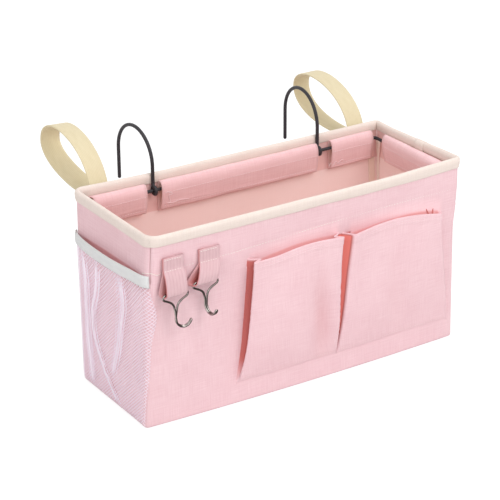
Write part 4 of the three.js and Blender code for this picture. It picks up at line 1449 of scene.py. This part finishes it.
def makeNet(end, node):
    outward = outwardOf(end)
    parts, cloth = [], []
    acrossCount, upCount = net["wide"] / net["pitchAcross"], net["high"] / net["pitchUp"]

    def addStrand(across, up, extra, thick):
        path = netPlace(end, across / acrossCount, up / upCount, extra)
        parts.append(tubeMesh(wireRings(path, outward, thick, thick, 3)))
        cloth.append(np.repeat(np.column_stack([across, up]), 3, 0))

    for lean in (1, -1):
        first, last = (-upCount, acrossCount) if lean == 1 else (0, acrossCount + upCount)
        for k in range(math.ceil(first), math.floor(last) + 1):
            # the strand's line: across = k + lean * up
            ups = np.array([0.0, upCount, (0 - k) * lean, (acrossCount - k) * lean])
            ups = ups[(ups >= -1e-9) & (ups <= upCount + 1e-9)]
            ups = ups[(k + lean * ups >= -1e-6) & (k + lean * ups <= acrossCount + 1e-6)]
            if len(ups) < 2 or ups.max() - ups.min() < 1.5:
                continue
            steps = max(2, int((ups.max() - ups.min()) * net["pitchUp"] / net["step"]) + 1)
            up = np.linspace(ups.min(), ups.max(), steps)
            addStrand(k + lean * up, up, net["over"] * lean, net["strand"])
    draw = random.Random(83)
    for fold, _, lowest in netFolds:
        for _ in range(net["foldCount"]):
            first = draw.uniform(lowest + 0.02, lowest + 0.1)
            up = np.linspace(first, draw.uniform(0.9, 0.99), 44) * upCount
            beside = draw.gauss(0, net["foldSpread"])
            beside = beside + draw.uniform(-2, 2) * np.sin(up / upCount * draw.uniform(2, 6))
            share = frontShare(end, fold(up / upCount) + beside / net["wide"])
            addStrand(share * acrossCount, up, net["foldOver"], net["foldStrand"])
    makeGroup(node + "_net", parts, netWhite, "net", np.concatenate(cloth), node)


def makeBand(end, node):
    share = np.linspace(0, 1, 60)
    up = np.linspace(0, 1, 7)
    inset, tall = net["inset"][end], net["bandHigh"]
    outer, inner = [], []
    for u in up:
        z = bandTop(frontShare(end, share)) - tall * (1 - u)
        low, high = panelEdges(end, z)
        t = low + inset + (high - low - inset - net["bandIn"]) * share
        swell = np.sin(math.pi * share) ** net["swell"]
        out = net["stand"] + net["bow"][end] * swell * (1 + net["bandLean"] * u)
        half = net["bandThick"] / 2 * math.sqrt(1 - (2 * abs(u - 0.5)) ** 4 * net["bandRound"])
        outer.append(wallAt(end, t, z, out + half + net["bandOut"]))
        inner.append(wallAt(end, t, z, out - half + net["bandOut"]))
    outer, inner = np.array(outer), np.array(inner)
    along = lengths(outer[3])
    cloth = np.stack(np.broadcast_arrays(up[:, None] * tall, along[None, :]), -1)
    piece = thickSheet(node + "_band", outer, inner, cloth, greyElastic)
    place(piece, "bag", "elastic", node)


for end in ("left", "right"):
    makeNet(end, "mesh_pocket_" + end)
    makeBand(end, "mesh_binding_" + end)
print("mesh pockets made")

# Stitches: short threads lying along a seam; each is its spacing, length and thickness
stitch = {
    "wall": (3.2, 2.3, 0.5), "sleeve": (3.0, 2.4, 0.5), "tab": (2.6, 1.9, 0.55),
    "hem": (3.0, 2.2, 0.42), "pocketFoot": (3.0, 2.2, 0.36),
    "frontRows": ((-139.5, -124), (-101, 168)), "backRow": (-140, 140), "wallOut": 0.05,
    "hemRows": (4.2, 6.0), "hemEnds": 30, "footRow": 3, "footEnds": 8,
    "tabHalf": 10.2, "tabIn": (1.8, 1.0), "tabOut": 3.3,
    # thin at its ends, where it dips into the cloth
    "shape": (0.55, 0.95, 1.0, 0.95, 0.55), "arch": (0.12, 0.88), "sunk": 0.6, "arched": 0.7,
}
# Loose threads, by the place along the side and the height; one from the left tab round the corner,
# two at the left ends of sleeves
looseThread = {
    "thick": 0.6, "cornerOut": 0.35, "sleeveOut": 0.3,
    "corner": ((-183, 161.0), (-178, 162.6), (-172.5, 162.9), (-166.5, 160.8), (-162.6, 161.4)),
    "sleeves": (
        ((85.5, 182.0), (79.0, 178.5), (83.2, 177.0), (81.2, 169.5),
         (84.8, 169.0), (77.0, 168.2), (70.0, 169.5), (60.0, 168.0)),
        ((-107.5, 165.0), (-110.2, 168.6), (-112.6, 165.2), (-115.8, 169.2),
         (-119.0, 166.4), (-122.8, 169.6), (-126.5, 167.4)),
    ),
}


def stitchRow(path, outward, kind):
    pitch, long, thick = stitch[kind]
    along = lengths(path)
    line = np.linspace(0, 1, len(stitch["shape"]))[:, None]
    arch = np.sin(np.linspace(*stitch["arch"], len(stitch["shape"])) * math.pi)[:, None]
    size = thick * np.array(stitch["shape"])
    rows = []
    for mark in np.arange(pitch / 2, along[-1] - pitch / 2, pitch):
        ends = (mark - long / 2, mark + long / 2)
        first, last = np.column_stack([np.interp(ends, along, path[:, k]) for k in range(3)])
        lifted = outward * (arch - stitch["sunk"]) * thick * stitch["arched"]
        centre = first + (last - first) * line + lifted
        rows.append(tubeMesh(wireRings(centre, outward, size, size, 5)))
    return rows


def wallRow(side, low, high):
    t = np.arange(low, high, 2.0)
    return stitchRow(wallAt(side, t, sewLine(t), stitch["wallOut"]), outwardOf(side), "wall")


def threadAlong(path, side):
    return tubeMesh(wireRings(path, side, looseThread["thick"], looseThread["thick"], 6))


wallRows = []
for low, high in stitch["frontRows"]:
    wallRows += wallRow("front", low, high)
wallRows += wallRow("back", *stitch["backRow"])
t, z = smoothPath(looseThread["corner"], 0.8).T
wallRows.append(threadAlong(wallAt("front", t, z, looseThread["cornerOut"]), (0, 0, 1.0)))
makeGroup("wall_stitches", wallRows, creamThread, "canvas")

sleeveStitches = []
for path, inwards in sleeveRows:
    sleeveStitches += stitchRow(path, inwards, "sleeve")
for line in looseThread["sleeves"]:
    t, z = smoothPath(line, 0.8).T
    sleeveStitches.append(threadAlong(sleeveLine("back", t, z, looseThread["sleeveOut"]), (0, -1.0, 0)))
makeGroup("sleeve_stitches", sleeveStitches, pinkThread, "canvas")

tabRows = []
toFront = outwardOf("front")
for side, x in tab["x"].items():
    top, sewn, _ = tabHeights(side)
    t = np.linspace(x - stitch["tabHalf"], x + stitch["tabHalf"], 12)
    for z in (top - stitch["tabIn"][0], sewn + stitch["tabIn"][1]):
        path = np.column_stack(np.broadcast_arrays(t, tabWall - stitch["tabOut"], z))
        tabRows += stitchRow(path, toFront, "tab")
makeGroup("tab_stitches", tabRows, creamThread, "canvas")

pocketRows = []
for side, (grid, normal, levels) in pocketGrids.items():
    ends = slice(stitch["hemEnds"], -stitch["hemEnds"])
    for below in stitch["hemRows"]:
        level = 1 - below / (max(pocket[side]["mouth"]) - pocket["low"])
        row = int(np.argmin(abs(levels - level)))
        path = grid[row, ends] + normal[row, ends] * (pocket["cloth"] / 2 + pocket["hemThick"])
        pocketRows += stitchRow(path, toFront, "hem")
    row, ends = stitch["footRow"], slice(stitch["footEnds"], -stitch["footEnds"])
    pocketRows += stitchRow(grid[row, ends] + normal[row, ends] * pocket["cloth"] / 2, toFront, "pocketFoot")
makeGroup("pocket_stitches", pocketRows, pinkThread, "canvas")

# Two small pleats where the right pocket's mouth ends, coloured with painted dark red shade
pleat = {
    # place along the front and height of their two ends
    "lines": (((139.0, 154.8), (141.0, 149.5)), ((147.1, 153.4), (146.0, 148.0))),
    "out": (0.1, 1.6), "wide": (0.5, 1.9), "thick": 0.9, "steps": 6, "sides": 8,
}
pleatParts = []
steps, around = pleat["steps"], pleat["sides"]
for (topT, topZ), (lowT, lowZ) in pleat["lines"]:
    t, z, out = (np.linspace(*ends, steps) for ends in ((topT, lowT), (topZ, lowZ), pleat["out"]))
    path, wide = wallAt("front", t, z, out), np.linspace(*pleat["wide"], steps)
    pleatParts.append(tubeMesh(wireRings(path, (1.0, 0, 0), wide, pleat["thick"], around)))
pleatPaintedShade = np.tile((0.0, 0.0, 1.0), (len(pleatParts) * steps * around, 1))
makeGroup("pocket_pleats", pleatParts, canvasPink, "canvas", pleatPaintedShade)
print("stitches made")

# Studio: pale floor, white all round, soft lamps
studio = {
    "floor": 6.0, "floorBounce": 0.8, "floorSeen": 0.35, "floorGlow": 0.78, "world": 0.55,
    # each lamp's place, width and power
    "lamps": (
        ("key", (0.7, -1.7, 1.9), 1.6, 22.0),
        ("low", (-0.3, -2.2, 0.45), 1.6, 4.5),
        ("fill", (-1.9, -0.7, 1.3), 1.4, 11.5),
        ("top", (0.1, -0.25, 2.3), 1.4, 14.0),
        ("rear", (0.5, 2.3, 0.9), 1.6, 7.0),
    ),
}


def seenShare(finish):
    seen = camera = finish.node("ShaderNodeLightPath", {}, {}, "Is Camera Ray")
    for ray in ("Is Glossy Ray", "Is Transmission Ray"):
        seen = seen.math("MAXIMUM", seen, camera.other(ray))
    return seen


def makeStudio():
    finish = Finish(bpy.data.materials.new("paleFloor"))
    bounce = finish.node("ShaderNodeBsdfDiffuse", {}, {"Color": (studio["floorBounce"],) * 3})
    seen = finish.node("ShaderNodeBsdfDiffuse", {}, {"Color": (studio["floorSeen"],) * 3})
    glow = finish.node("ShaderNodeEmission", {}, {"Color": (1, 1, 1), "Strength": studio["floorGlow"]})
    lit = finish.node("ShaderNodeAddShader", {}, {0: seen, 1: glow})
    both = finish.node("ShaderNodeMixShader", {}, {0: seenShare(finish), 1: bounce, 2: lit})
    finish.feed(finish.tree.nodes["Material Output"].inputs["Surface"], both)
    half = studio["floor"] / 2 / mm
    corners = [(-half, -half, 0), (half, -half, 0), (half, half, 0), (-half, half, 0)]
    floor = makePiece("studio_floor", corners, [(0, 1, 2, 3)], finish.material)
    world = bpy.data.worlds.new("studioWorld")
    bpy.context.scene.world = world
    sky = Finish(world)
    background = sky.tree.nodes["Background"]
    strength = seenShare(sky) * (1 - studio["world"]) + studio["world"]
    sky.feed(background.inputs["Color"], (1, 1, 1))
    sky.feed(background.inputs["Strength"], strength)
    for name, spot, size, power in studio["lamps"]:
        data = bpy.data.lights.new(name, "AREA")
        data.shape = "DISK"
        data.size = size
        data.energy = power
        lamp = bpy.data.objects.new(name, data)
        lamp.location = spot
        lamp.rotation_mode = "QUATERNION"
        lamp.rotation_quaternion = (Vector((0, 0, 0.1)) - Vector(spot)).to_track_quat("-Z", "Y")
        bpy.context.collection.objects.link(lamp)


makeStudio()
bpy.context.scene.view_settings.view_transform = "Standard"
print("studio made")
